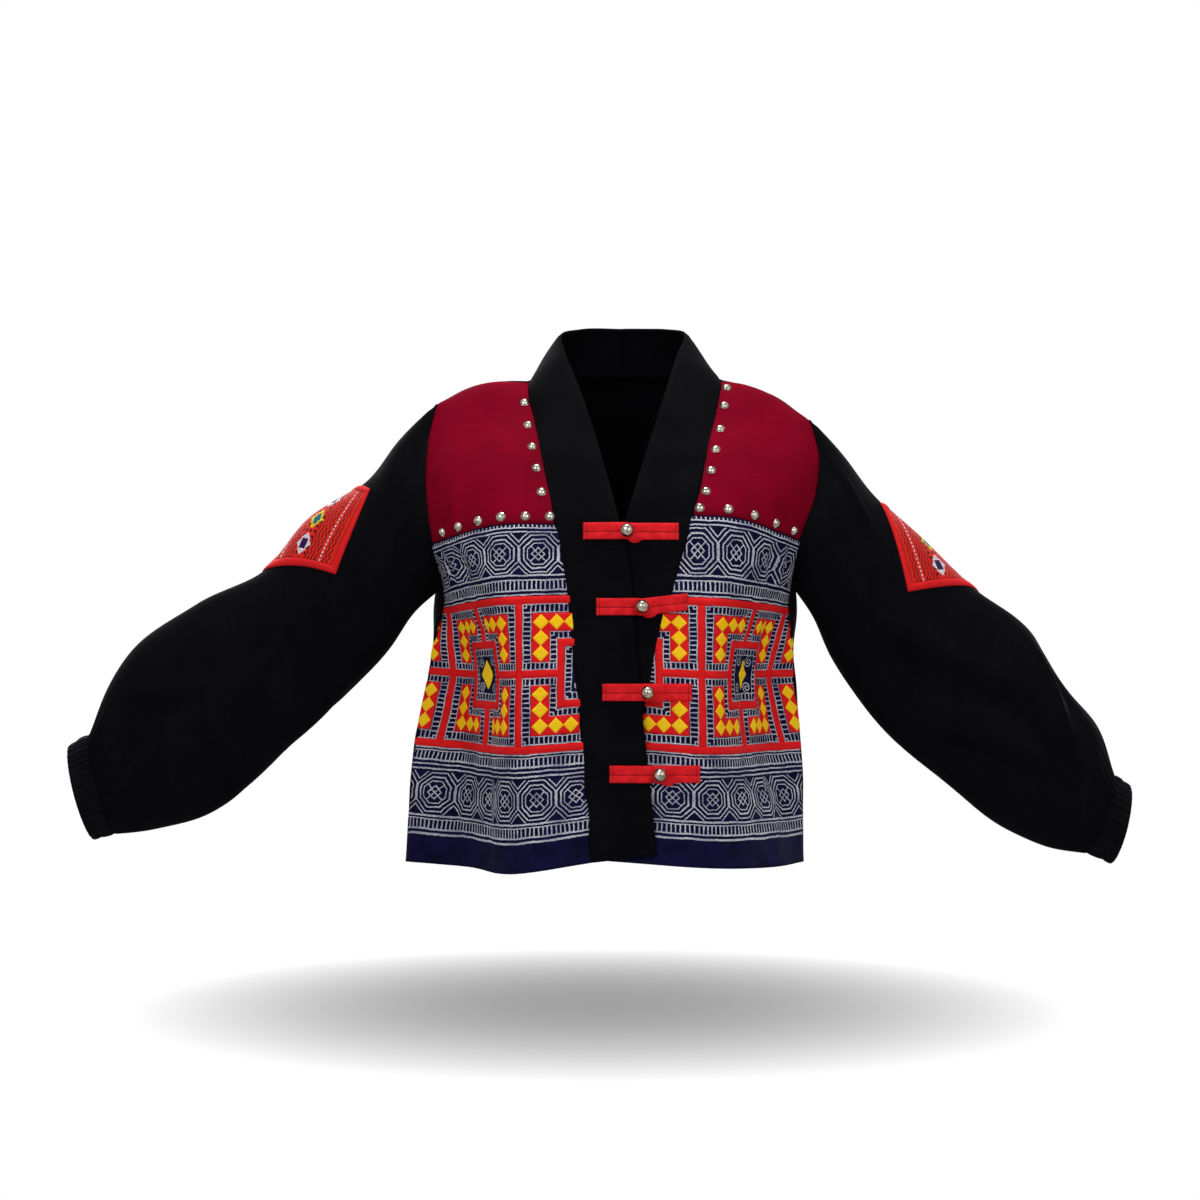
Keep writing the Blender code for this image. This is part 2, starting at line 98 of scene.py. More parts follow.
FrontRow = namedtuple("FrontRow", "down seam knee foot side")
FRONT = {
    "right": [
        FrontRow(-35, (-92, 25, 7), (-130, 24, -2), (-168, 22, -18), (-203, 22, -55)),
        FrontRow(0, (-98, -10, -2), (-130, -9, -2), (-164, -7, -9), (-198, -4, -27)),
        FrontRow(60, (-91, -48, -50), (-132, -50, -52), (-172, -40, -58), (-204, -22, -66)),
        FrontRow(118, (-80, -82, -98), (-130, -84, -101), (-174, -68, -107), (-204, -42, -113)),
        FrontRow(183, (-67, -108, -158), (-126, -106, -159), (-172, -80, -169), (-197, -52, -176)),
        FrontRow(231, (-58, -116, -205), (-122, -113, -207), (-166, -64, -213), (-190, -4, -219)),
        FrontRow(311, (-48, -121, -285), (-108, -121, -287), (-166, -20, -288), (-201, 0, -286)),
        FrontRow(411, (-40, -125, -385), (-106, -125, -390), (-172, -14, -390), (-220, 3, -387)),
        FrontRow(520, (-31, -128, -491), (-108, -130, -502), (-160, -44, -505), (-229, 3, -505)),
    ],
    "left": [
        FrontRow(-35, (92, 25, 9), (130, 24, -4), (168, 22, -26), (203, 22, -74)),
        FrontRow(0, (101, -10, 0), (130, -9, -6), (164, -7, -20), (198, -4, -44)),
        FrontRow(60, (92, -48, -50), (130, -50, -56), (172, -40, -68), (205, -20, -82)),
        FrontRow(118, (80, -80, -96), (122, -82, -102), (168, -62, -114), (199, -34, -124)),
        FrontRow(183, (66, -104, -149), (112, -102, -152), (156, -74, -164), (182, -46, -172)),
        FrontRow(231, (50, -111, -205), (100, -108, -207), (150, -62, -213), (177, -8, -218)),
        FrontRow(311, (30, -114, -285), (84, -116, -287), (150, -22, -288), (179, 0, -288)),
        FrontRow(411, (12, -117, -385), (80, -120, -390), (157, -14, -392), (188, 3, -391)),
        FrontRow(520, (-8, -121, -491), (82, -124, -497), (152, -62, -503), (190, 3, -505)),
    ],
}

# The band stands round the neck and crosses at the front, the right one on top
NECK_SEAM = {
    "right": [(-143, (0, 70, 16)), (-83, (-58, 58, 14))],
    "left": [(-143, (0, 70, 16)), (-83, (58, 58, 14))],
}
BAND_EDGE = {
    "right": [
        (0, 48, 64), (-45, 32, 61), (-67, 2, 50), (-61, -26, 27), (-40, -64, -30), (-24, -91, -84),
        (-7, -114, -148), (4, -121, -200), (11, -124, -281), (21, -127, -381), (32, -129, -484),
    ],
    "left": [
        (0, 48, 64), (45, 32, 61), (67, 2, 50), (57, -26, 25), (40, -62, -28), (22, -88, -84),
        (4, -108, -144), (-12, -111, -200), (-31, -113, -281), (-49, -116, -382), (-69, -119, -486),
    ],
}

# The back, row by row from the right side to the left; its top row is worked out from the fronts
BackRow = namedtuple("BackRow", "down points")
BACK = [
    BackRow(25, [
        (-202, 12, -43), (-166, 24, -13), (-130, 30, -3), (-104, 36, 0), (-94, 48, 0), (-62, 71, 2),
        (0, 84, 0), (62, 71, 2), (94, 48, 1), (106, 36, 0), (132, 30, -7), (168, 24, -27),
        (203, 12, -61),
    ]),
    BackRow(60, [
        (-204, 28, -67), (-178, 56, -54), (-134, 80, -44), (0, 98, -38), (134, 80, -50),
        (178, 54, -68), (205, 26, -84),
    ]),
    BackRow(118, [
        (-202, 46, -112), (-176, 76, -106), (-120, 102, -100), (0, 110, -98), (118, 102, -106),
        (174, 74, -116), (201, 42, -122),
    ]),
    BackRow(183, [
        (-197, 44, -176), (-172, 80, -172), (-110, 106, -168), (0, 112, -165), (106, 106, -167),
        (162, 78, -170), (184, 42, -172),
    ]),
    BackRow(231, [
        (-190, -4, -219), (-197, 16, -217), (-174, 70, -214), (-100, 104, -212), (0, 110, -210),
        (98, 104, -212), (164, 68, -214), (183, 14, -216), (177, -8, -218),
    ]),
    BackRow(311, [
        (-201, 0, -286), (-203, 10, -288), (-190, 46, -288), (-110, 94, -288), (0, 102, -288),
        (104, 94, -288), (172, 46, -288), (181, 10, -288), (179, 0, -288),
    ]),
    BackRow(411, [
        (-220, 3, -387), (-222, 12, -388), (-208, 48, -388), (-120, 96, -388), (0, 104, -388),
        (110, 96, -389), (180, 48, -390), (190, 12, -391), (188, 3, -391),
    ]),
    BackRow(520, [
        (-229, 3, -505), (-231, 12, -505), (-214, 52, -505), (-124, 104, -505), (0, 112, -505),
        (112, 104, -505), (180, 52, -505), (191, 12, -505), (190, 3, -505),
    ]),
]

# Sleeve rings: the top and the underside of each, seen from the front, and half its depth
SleeveRing = namedtuple("SleeveRing", "along top low depth")
SLEEVE = {
    "right": [
        SleeveRing(0.10, (-236, -64), (-221, -247), 46),
        SleeveRing(0.20, (-267, -103), (-247, -284), 44),
        SleeveRing(0.35, (-330, -147), (-291, -334), 42),
        SleeveRing(0.50, (-379, -202), (-340, -378), 41),
        SleeveRing(0.65, (-447, -235), (-389, -423), 42),
        SleeveRing(0.80, (-510, -279), (-444, -460), 44),
        SleeveRing(0.90, (-540, -324), (-488, -471), 40),
        SleeveRing(1.00, (-559, -371), (-530, -476), 29),
    ],
    "left": [
        SleeveRing(0.10, (233, -81), (201, -252), 46),
        SleeveRing(0.20, (263, -119), (219, -291), 44),
        SleeveRing(0.35, (317, -171), (254, -346), 42),
        SleeveRing(0.50, (371, -221), (299, -392), 41),
        SleeveRing(0.65, (427, -264), (350, -433), 42),
        SleeveRing(0.80, (467, -328), (402, -472), 44),
        SleeveRing(0.90, (498, -366), (441, -489), 38),
        SleeveRing(1.00, (514, -413), (483, -496), 29),
    ],
}
SLEEVE_LENGTH = 470  # along the middle of the cloth, which places the squares
CUFF = {
    "right": [
        SleeveRing(0.0, (-559, -371), (-530, -476), 29),
        SleeveRing(0.5, (-570, -376), (-541, -479), 28),
        SleeveRing(1.0, (-580, -383), (-553, -482), 31),
    ],
    "left": [
        SleeveRing(0.0, (514, -413), (483, -496), 29),
        SleeveRing(0.5, (522, -418), (496, -501), 28),
        SleeveRing(1.0, (530, -424), (509, -507), 31),
    ],
}

Frog = namedtuple("Frog", "x z outer_right outer_left lift")
FROGS = [
    Frog(2, -166, -41, 54, 0),
    Frog(17, -241, -28, 62, 5),
    Frog(22, -325, -22, 66, 0),
    Frog(34, -405, -15, 74, 0),
]


# Curves and surfaces

def spline(points, knots, at):
    """The smooth curve that passes each of the points at its knot, read at each value in at."""
    points, knots, at = np.asarray(points, float), np.asarray(knots, float), np.asarray(at, float)
    slopes = np.gradient(points, knots, axis=0)
    span = np.clip(np.searchsorted(knots, at, side="right") - 1, 0, len(knots) - 2)
    shape = (-1,) + (1,) * (points.ndim - 1)
    width = (knots[span + 1] - knots[span]).reshape(shape)
    t = (at - knots[span]).reshape(shape) / width
    start = (1 + 2 * t) * (1 - t) ** 2 * points[span] + t * (1 - t) ** 2 * width * slopes[span]
    end = t * t * (3 - 2 * t) * points[span + 1] + t * t * (t - 1) * width * slopes[span + 1]
    return start + end


def evenly(points, steps):
    """The smooth curve through the points, read at steps equal lengths along it."""
    points = np.asarray(points, float)
    knots = np.append(0, np.cumsum(np.linalg.norm(np.diff(points, axis=0), axis=1) ** 0.5))
    fine = spline(points, knots, np.linspace(0, knots[-1], 12 * steps))
    lengths = np.append(0, np.cumsum(np.linalg.norm(np.diff(fine, axis=0), axis=1)))
    wanted = np.linspace(0, lengths[-1], steps + 1)
    return np.stack([np.interp(wanted, lengths, fine[:, axis]) for axis in range(3)], axis=1)


def surface(sections, knots, down, across):
    """The smooth surface through the sections, read at each pair of down and across."""
    rows = spline(sections, knots, down)
    columns = spline(rows.swapaxes(0, 1), np.linspace(0, 1, rows.shape[1]), across)
    return columns.swapaxes(0, 1)


def front(side, down, across):
    """One front: across runs from 0 at the band seam to 1 at the armhole or the side seam."""
    rows = FRONT[side]
    sections = [evenly([row.seam, row.knee, row.foot, row.side], STEPS) for row in rows]
    return surface(np.array(sections), [row.down for row in rows], down, across)


def band_seam(side, down):
    """The line where a band is sewn to the neck and the front, from the back of the neck down."""
    places = NECK_SEAM[side] + [(row.down, row.seam) for row in FRONT[side]]
    return spline([point for _, point in places], [at for at, _ in places], down)


def band(side, down, across):
    """One half of the band: across runs from 0 at the seam to 1 at the free edge."""
    knots = [at for at, _ in NECK_SEAM[side]] + [row.down for row in FRONT[side]]
    edge = spline(BAND_EDGE[side], knots, down)
    seam = band_seam(side, down)
    across = np.asarray(across, float).reshape(1, -1, 1)
    roll = np.interp(down, *zip(*BAND_ROLL)).reshape(-1, 1, 1)
    outward = np.stack([seam[:, 0] * 0.8, seam[:, 1], 0 * seam[:, 2]], axis=1)
    outward /= np.linalg.norm(outward, axis=1, keepdims=True)
    flat = seam[:, None] + (edge - seam)[:, None] * across
    return flat + roll * (4 * across * (1 - across)) * outward[:, None]


def back_top():
    """The back's upper edge: the right shoulder seam, the neck and the left shoulder seam."""
    shoulder = np.linspace(1, 0, 6)
    neck = np.linspace(0, NECK_BACK, 8)
    right = [*front("right", [0], shoulder)[0], *band_seam("right", neck[1:])]
    left = [*front("left", [0], shoulder)[0], *band_seam("left", neck[1:])]
    return np.array(right + left[-2::-1])


def back(down, across):
    """The back: across runs from 0 at the right side to 1 at the left."""
    top = back_top()
    sections = [top] + [evenly(row.points, len(top) - 1) for row in BACK]
    return surface(np.array(sections), [0] + [row.down for row in BACK], down, across)


def armhole(side):
    """The armhole's edge, from the shoulder down the front to the armpit and up the back."""
    side_of_back = {"right": 0, "left": 1}[side]
    before = front(side, np.linspace(0, ARMPIT, STEPS), [1])[:, 0]
    behind = back(np.linspace(ARMPIT, 0, STEPS), [side_of_back])[:, 0]
    ring = np.concatenate([evenly(before, STEPS // 2), evenly(behind, STEPS // 2)[1:]])
    outward = {"right": -1, "left": 1}[side]
    return ring + np.array([outward * ARMHOLE_GAP, 0, 0])


def oval(ring):
    """A sleeve ring, from its top round the front to its underside and back up behind."""
    top = np.array([ring.top[0], 0, ring.top[1]], float)
    low = np.array([ring.low[0], 0, ring.low[1]], float)
    angle = np.linspace(0, 2 * math.pi, RING_POINTS).reshape(-1, 1)
    depth = np.array([0, -ring.depth, 0])
    return evenly((top + low) / 2 + np.cos(angle) * (top - low) / 2 + np.sin(angle) * depth, STEPS)


def sleeve(side, along, around):
    sections = [armhole(side)] + [oval(ring) for ring in SLEEVE[side]]
    return surface(np.array(sections), [0] + [r.along for r in SLEEVE[side]], along, around)


def cuff(side, along, around):
    sections = [oval(ring) for ring in CUFF[side]]
    return surface(np.array(sections), [ring.along for ring in CUFF[side]], along, around)


def facing(read, first, second, nudge=(1.0, 0.004)):
    """The point at (first, second) of a surface, and the unit normal there."""
    a, b = nudge
    around = read([first - a, first, first + a], [second - b, second, second + b])
    normal = np.cross(around[2, 1] - around[0, 1], around[1, 2] - around[1, 0])
    return around[1, 1], normal / np.linalg.norm(normal)


# Batik: where its parts fall below the yoke seam, and how the cloth's length across becomes the
# design's, because a hand-drawn and hand-sewn design is never quite even
BLOCK = 144  # two cells
BLOCK_MIDDLE = 148.3
STRIP_WIDTH = 7.5
OCTAGON = 38.5
OCTAGON_ROWS = (30.5, 268.5)
OCTAGON_SHIFT = {"right": (0, 0), "left": (16, -9)}
HEM_BAND = 337
FIRST_STRIP = {"right": -104, "left": 76}  # where the first upright strip falls, in the frame
DESIGN = {
    "right": [
        (30, (-80, -19, 20, 57, 91, 150), (-80, -19, 19, 58, 96, 157)),
        (150, (-80, 0, 62, 139, 160), (-80, 0, 72, 144, 165)),
        (268, (-80, -18, 20, 56, 112, 165), (-80, -19, 19, 58, 96, 140)),
    ],
    "left": [
        (30, (-80, -3, 37, 79, 121, 160), (-77, -3, 35.5, 74, 112.5, 150)),
        (150, (-80, 0, 73, 128, 150), (-80, 0, 72, 144, 166)),
        (268, (-80, -29, 13, 60, 104, 146, 180), (-77, -28, 10.5, 49, 87.5, 126, 160)),
    ],
}

# Folds: how high (a trough is below 0), half how wide, and the places they pass, as (across, down)
Fold = namedtuple("Fold", "lift width places")
FRONT_FOLDS = {
    "right": [
        Fold(-6, 8, [(84, 8), (80, 32), (86, 66)]),
        Fold(4, 7, [(98, 12), (96, 38), (97, 64)]),
        Fold(-5, 6, [(112, 16), (107, 42), (98, 70)]),
        Fold(3, 6, [(122, 22), (118, 48), (112, 72)]),
        Fold(-3, 11, [(60, 70), (64, 150), (58, 235), (50, 330)]),
        Fold(2, 12, [(88, 90), (84, 170), (78, 300)]),
        Fold(-2, 10, [(18, 225), (14, 290), (20, 335)]),
        Fold(1.6, 9, [(-18, 120), (-22, 200), (-20, 290)]),
        Fold(-1.5, 5, [(100, 92), (70, 104), (40, 108)]),
        Fold(-1.8, 8, [(120, 200), (112, 270), (116, 330)]),
    ],
    "left": [
        Fold(-6, 8, [(82, 10), (86, 34), (96, 62)]),
        Fold(4, 7, [(98, 12), (102, 36), (108, 60)]),
        Fold(-5, 6, [(112, 14), (116, 40), (118, 66)]),
        Fold(-4, 9, [(70, 90), (76, 140), (68, 205), (60, 250)]),
        Fold(3, 9, [(92, 96), (96, 150), (88, 220)]),
        Fold(-2.4, 7, [(116, 80), (112, 130), (120, 190)]),
        Fold(-2, 10, [(30, 230), (26, 290), (34, 335)]),
        Fold(1.8, 10, [(-14, 130), (-20, 210), (-28, 300)]),
        Fold(2, 9, [(100, 230), (96, 290), (100, 336)]),
        Fold(-1.5, 5, [(118, 96), (80, 112), (50, 110)]),
    ],
}
YOKE_FOLDS = {
    "right": [
        Fold(-1.2, 12, [(30, -150), (50, -100), (78, -60)]),
        Fold(1.0, 10, [(6, -120), (28, -70), (62, -20)]),
        Fold(-1.6, 9, [(84, -60), (92, -26), (96, -2)]),
        Fold(1.2, 8, [(70, -40), (76, -16), (74, 0)]),
    ],
    "left": [
        Fold(-1.2, 12, [(26, -146), (44, -96), (66, -52)]),
        Fold(1.0, 10, [(2, -110), (20, -64), (52, -24)]),
        Fold(-1.6, 9, [(88, -54), (94, -24), (92, -2)]),
        Fold(1.2, 8, [(64, -36), (72, -14), (78, 0)]),
    ],
}
# On a sleeve, across is measured from its top round the front, and down from the armhole
SLEEVE_FOLDS = {
    "right": [
        Fold(-3, 15, [(50, 40), (112, 58), (178, 44)]),
        Fold(2.2, 12, [(60, 84), (120, 100), (176, 92)]),
        Fold(-3.4, 18, [(78, 150), (116, 224), (168, 300)]),
        Fold(2.6, 16, [(120, 140), (150, 205), (190, 262)]),
        Fold(-2.4, 9, [(56, 218), (84, 236), (104, 268)]),
        Fold(2.4, 8, [(44, 396), (78, 366), (96, 318)]),
        Fold(-2.6, 9, [(58, 402), (92, 376), (118, 326)]),
        Fold(-2.8, 6, [(86, 466), (100, 424), (112, 374)]),
        Fold(2.2, 5, [(97, 466), (110, 420), (124, 384)]),
        Fold(-2.4, 5, [(108, 467), (124, 426), (140, 394)]),
        Fold(2, 5, [(118, 467), (136, 430), (152, 404)]),
        Fold(-2.2, 5, [(128, 467), (148, 434), (168, 412)]),
        Fold(-3, 16, [(250, 60), (300, 80), (352, 66)]),
        Fold(-3.2, 18, [(268, 180), (300, 250), (330, 330)]),
        Fold(2.6, 14, [(300, 150), (336, 232), (352, 300)]),
        Fold(-2.8, 8, [(330, 400), (300, 366), (270, 330)]),
        Fold(2.4, 9, [(250, 404), (262, 370), (240, 330)]),
        Fold(-2.6, 9, [(214, 120), (224, 190), (216, 262)]),
    ],
    "left": [
        Fold(2.0, 5, [(34, 12), (46, 66), (58, 128)]),
        Fold(-2.2, 8, [(48, 14), (62, 66), (74, 122)]),
        Fold(-3, 13, [(92, 40), (122, 74), (150, 96)]),
        Fold(-5.5, 15, [(176, 104), (142, 176), (116, 262), (92, 340), (74, 410)]),
        Fold(3.6, 14, [(140, 112), (108, 190), (84, 270), (66, 342)]),
        Fold(-4.6, 12, [(190, 220), (168, 288), (134, 350), (96, 408)]),
        Fold(3.4, 11, [(166, 236), (142, 300), (112, 356)]),
        Fold(4.4, 6, [(22, 306), (32, 344), (58, 396)]),
        Fold(-4.6, 8, [(8, 322), (18, 362), (44, 410)]),
        Fold(2.6, 6, [(36, 424), (50, 446), (60, 466)]),
        Fold(-2.4, 7, [(62, 430), (82, 444), (96, 466)]),
        Fold(-2.2, 10, [(30, 250), (56, 268), (86, 276)]),
        Fold(-3, 15, [(254, 56), (302, 76), (350, 62)]),
        Fold(-3.8, 16, [(262, 150), (296, 230), (316, 320)]),
        Fold(2.8, 14, [(290, 140), (328, 210), (344, 280)]),
        Fold(-3, 8, [(318, 410), (292, 370), (268, 322)]),
        Fold(2.4, 9, [(240, 400), (256, 362), (236, 316)]),
    ],
}
BACK_FOLDS = [
    Fold(-3, 18, [(70, 150), (92, 240), (84, 360), (96, 505)]),
    Fold(2.4, 20, [(124, 190), (140, 300), (132, 430), (140, 515)]),
    Fold(-2.4, 16, [(206, 260), (196, 380), (208, 512)]),
    Fold(2.0, 18, [(262, 230), (270, 350), (258, 510)]),
    Fold(-3, 17, [(330, 200), (344, 300), (336, 420), (350, 512)]),
    Fold(2.2, 15, [(392, 230), (400, 330), (390, 480)]),
    Fold(-3.4, 14, [(30, 206), (74, 168), (140, 140)]),
    Fold(-3.2, 14, [(430, 206), (388, 166), (318, 144)]),
    Fold(2.2, 12, [(60, 110), (110, 78), (176, 62)]),
    Fold(2.0, 12, [(410, 112), (352, 82), (292, 66)]),
    Fold(-1.8, 10, [(170, 36), (236, 50), (300, 38)]),
]
BAND_FOLDS = {
    "right": [
        Fold(-0.8, 10, [(20, 150), (34, 230)]),
        Fold(0.8, 12, [(40, 240), (28, 330)]),
        Fold(-0.9, 10, [(16, 330), (40, 400), (30, 480)]),
    ],
    "left": [
        Fold(-0.8, 10, [(24, 60), (34, 130)]),
        Fold(0.8, 12, [(38, 200), (30, 300)]),
        Fold(-0.8, 10, [(20, 360), (34, 450)]),
    ],
}


# Cloth

# A panel: its points, the normals there, where they fall on the flat cloth, whether it is a tube
# and whether its faces need turning to point outwards
Cloth = namedtuple("Cloth", "points normals across down tube flip")
SEAM_DIP, SEAM_REACH = 0.9, 4  # how deep a seam pulls the cloth in, and how far to each side
RIPPLES = 7
RIPPLE_LIFT = 0.28
RIPPLE_LENGTHS = (45, 130)


def normals_of(points, tube, flip):
    """The unit normals of a grid of points, on the outside of the cloth."""
    if tube:
        joined = np.concatenate([points[:, -2:-1], points, points[:, 1:2]], axis=1)
        across = joined[:, 2:] - joined[:, :-2]
    else:
        across = np.gradient(points, axis=1)
    normals = np.cross(across, np.gradient(points, axis=0))
    return (-1 if flip else 1) * normals / np.linalg.norm(normals, axis=2, keepdims=True)


def lengths_across(points):
    """How far along its row each point of a grid lies."""
    steps = np.linalg.norm(np.diff(points, axis=1), axis=2)
    return np.concatenate([np.zeros((len(points), 1)), steps.cumsum(axis=1)], axis=1)


def lift_of(folds, across, down, girth):
    """How far the folds lift each place of the cloth, fading towards the ends of each fold."""
    lift = np.zeros(across.shape)
    for fold in folds:
        places = np.array([(a, 0, d) for a, d in fold.places], float)
        line = evenly(places, 24) if len(places) > 2 else np.linspace(*places, 25)
        nearest, share = np.full(across.shape, np.inf), np.zeros(across.shape)
        for step, (a, _, d) in enumerate(line):
            aside = across - a
            if girth is not None:
                aside = (aside + girth / 2) % girth - girth / 2
            distance = aside ** 2 + (down - d) ** 2
            share = np.where(distance < nearest, step / (len(line) - 1), share)
            nearest = np.minimum(nearest, distance)
        fade = np.sin(math.pi * (0.06 + 0.88 * share))
        lift += fold.lift * fade * np.exp(-nearest / fold.width ** 2)
    return lift


def ripple(across, down, seed):
    """The slight unevenness of cloth that hangs: a few long, low waves, each its own way."""
    draw = np.random.default_rng(seed)
    lift = np.zeros(across.shape)
    for _ in range(RIPPLES):
        wave = draw.uniform(*RIPPLE_LENGTHS)
        turn, start = draw.uniform(0, math.pi), draw.uniform(0, 6)
        ahead = across * math.cos(turn) + down * math.sin(turn)
        lift += RIPPLE_LIFT * np.sin(ahead * 2 * math.pi / wave + start)
    return lift


def folded(points, across, down, folds, seed, flip=False, tube=False, more=0):
    """The cloth of a grid of points, with its folds, its ripples and any more lift put in."""
    girth = across[:, -1:] if tube else None
    lift = lift_of(folds, across, down, girth) + more
    lift = lift + (0 if tube else ripple(across, down, seed))
    points = points + normals_of(points, tube, flip) * lift[..., None]
    if tube:
        points[:, -1] = points[:, 0]
    return Cloth(points, normals_of(points, tube, flip), across, down, tube, flip)


def pressed(across, edges=(True, True), depth=SEAM_DIP, reach=SEAM_REACH):
    """How far cloth dips to the seams at its sides."""
    width = across[:, -1:]
    dip = np.zeros(across.shape)
    for wanted, distance in zip(edges, (across - across[:, :1], width - across)):
        if wanted:
            dip -= depth * np.exp(-(distance / reach) ** 2)
    return dip


def place_in(cloth, across, down):
    """The rows and columns, with their fractions, at which flat places fall in a cloth's grid."""
    rows = np.interp(down, cloth.down[:, 0], np.arange(len(cloth.down)))
    low = np.clip(rows.astype(int), 0, len(cloth.down) - 2)
    share = (rows - low)[:, None]
    lines = cloth.across[low] * (1 - share) + cloth.across[low + 1] * share
    if cloth.tube:
        across = np.mod(across, lines[:, -1])
    column = np.clip((lines < across[:, None]).sum(axis=1) - 1, 0, lines.shape[1] - 2)
    each = np.arange(len(across))
    first, second = lines[each, column], lines[each, column + 1]
    return rows, column + np.clip((across - first) / np.maximum(second - first, 1e-6), 0, 1)


def on_cloth(cloth, across, down, lift):
    """The points that lie on the cloth, or the given lift off it, at flat places."""
    rows, columns = place_in(cloth, across, down)
    low_row = np.clip(rows.astype(int), 0, cloth.points.shape[0] - 2)
    low_column = np.clip(columns.astype(int), 0, cloth.points.shape[1] - 2)
    r, c = (rows - low_row)[:, None], (columns - low_column)[:, None]

    def read(grid):
        near = grid[low_row, low_column] * (1 - c) + grid[low_row, low_column + 1] * c
        far = grid[low_row + 1, low_column] * (1 - c) + grid[low_row + 1, low_column + 1] * c
        return near * (1 - r) + far * r

    normals = read(cloth.normals)
    normals /= np.linalg.norm(normals, axis=1, keepdims=True)
    return read(cloth.points) + normals * np.asarray(lift)[:, None]


# Making pieces

def make(name, bm, material, wall=0.0, replaced=()):
    """Turns a bmesh in millimetres into a piece of the jacket, with a wall on its inside."""
    bmesh.ops.scale(bm, vec=(MM, MM, MM), verts=bm.verts)
    mesh = bpy.data.meshes.new(name)
    bm.to_mesh(mesh)
    bm.free()
    mesh.shade_smooth()
    mesh.materials.append(material)
    piece = bpy.data.objects.new(name, mesh)
    bpy.context.scene.collection.objects.link(piece)
    if wall:
        solidify = piece.modifiers.new("Wall", "SOLIDIFY")
        solidify.thickness = wall * MM
        solidify.offset = -1
        solidify.use_even_offset = True
        solidify.thickness_clamp = 0.9
    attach(piece, "root")
    if replaced:
        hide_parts(*replaced)
    return piece


def grid_of(cloth):
    """A bmesh of a cloth's grid, with the flat places as its UV map."""
    rows, columns = cloth.across.shape
    bm = bmesh.new()
    bmesh.ops.create_grid(bm, x_segments=columns - 1, y_segments=rows - 1, size=0.5)
    flat = bm.loops.layers.uv.new("cloth")
    for vert in bm.verts:
        column = round((vert.co.x + 0.5) * (columns - 1))
        row = round((vert.co.y + 0.5) * (rows - 1))
        for loop in vert.link_loops:
            loop[flat].uv = (cloth.across[row, column], cloth.down[row, column])
        vert.co = Vector(cloth.points[row, column])
    if cloth.tube:
        bmesh.ops.remove_doubles(bm, verts=bm.verts, dist=1e-4)
    if cloth.flip:
        bmesh.ops.reverse_faces(bm, faces=bm.faces)
    return bm


def lay_on(bm, cloth, turned=None):
    """Lays flat work, whose Z is its height, on a cloth, and drops what falls past its edges."""
    flat = bm.loops.layers.uv.get("cloth") or bm.loops.layers.uv.new("cloth")
    for face in bm.faces:
        for loop in face.loops:
            loop[flat].uv = loop.vert.co.xy
    places = np.array([vert.co for vert in bm.verts])
    across, down = (turned or (lambda a, d: (a, d)))(places[:, 0], places[:, 1])
    if not cloth.tube:
        _, columns = place_in(cloth, across, down)
        last = cloth.across.shape[1] - 1
        past = {vert for vert, column in zip(bm.verts, columns) if column <= 0 or column >= last}
    points = on_cloth(cloth, across, down, places[:, 2])
    for vert, point in zip(bm.verts, points):
        vert.co = Vector(point)
    if not cloth.tube:
        gone = [face for face in bm.faces if all(vert in past for vert in face.verts)]
        bmesh.ops.delete(bm, geom=gone, context="FACES")
    if cloth.flip:
        bmesh.ops.reverse_faces(bm, faces=bm.faces)


def spread(points):
    """A cloth's width and length in millimetres, and its area, from its grid before folding."""
    widths = np.linalg.norm(np.diff(points, axis=1), axis=2).sum(axis=1)
    lengths = np.linalg.norm(np.diff(points, axis=0), axis=2)
    heights = lengths.sum(axis=0)
    edges = np.cross(points[1:, :-1] - points[:-1, :-1], points[:-1, 1:] - points[:-1, :-1])
    others = np.cross(points[1:, :-1] - points[1:, 1:], points[:-1, 1:] - points[1:, 1:])
    area = (np.linalg.norm(edges, axis=2).sum() + np.linalg.norm(others, axis=2).sum()) / 2
    return widths.max(), heights.max(), area


def declare(points):
    """Works out a sheet's flat cut, as its widest and longest lines and the area of its cloth, and
    keeps none of it.
    """
    width, length, area = spread(points)
    area = min(area, width * length)


# Finishes

def colour(code):
    """A linear colour from sRGB hex."""
    channels = [int(code[at:at + 2], 16) / 255 for at in (0, 2, 4)]
    return (*[c / 12.92 if c <= 0.04045 else ((c + 0.055) / 1.055) ** 2.4 for c in channels], 1)


def add(tree, kind, inputs=(), **settings):
    """Adds a node. Inputs, in order or by socket, are values or the nodes or outputs that feed it."""
    node = tree.nodes.new("ShaderNode" + kind)
    for name, value in settings.items():
        setattr(node, name, value)
    for socket, value in inputs.items() if isinstance(inputs, dict) else enumerate(inputs):
        if isinstance(value, bpy.types.Node):
            value = value.outputs[0]
        if isinstance(value, bpy.types.NodeSocket):
            tree.links.new(value, node.inputs[socket])
        else:
            node.inputs[socket].default_value = value
    return node


def set_stops(ramp, stops):
    """Gives a colour ramp its stops, each a place from 0 to 1 and the grey that starts there."""
    ramp.color_ramp.interpolation = "CONSTANT"
    elements = ramp.color_ramp.elements
    while len(elements) < len(stops):
        elements.new(0)
    for element, (place, grey) in zip(elements, stops):
        element.position = place
        element.color = (grey, grey, grey, 1)
    return ramp


def new_finish(name, roughness, metallic=0.0, sheen=0.0, specular=0.5):
    """An empty material's way to put nodes in it, and its shader."""
    material = bpy.data.materials.new(name)
    material.use_nodes = True
    shader = material.node_tree.nodes["Principled BSDF"]
    for socket, value in (("Roughness", roughness), ("Metallic", metallic),
                          ("Sheen Weight", sheen), ("Specular IOR Level", specular)):
        shader.inputs[socket].default_value = value
    return material, partial(add, material.node_tree), shader


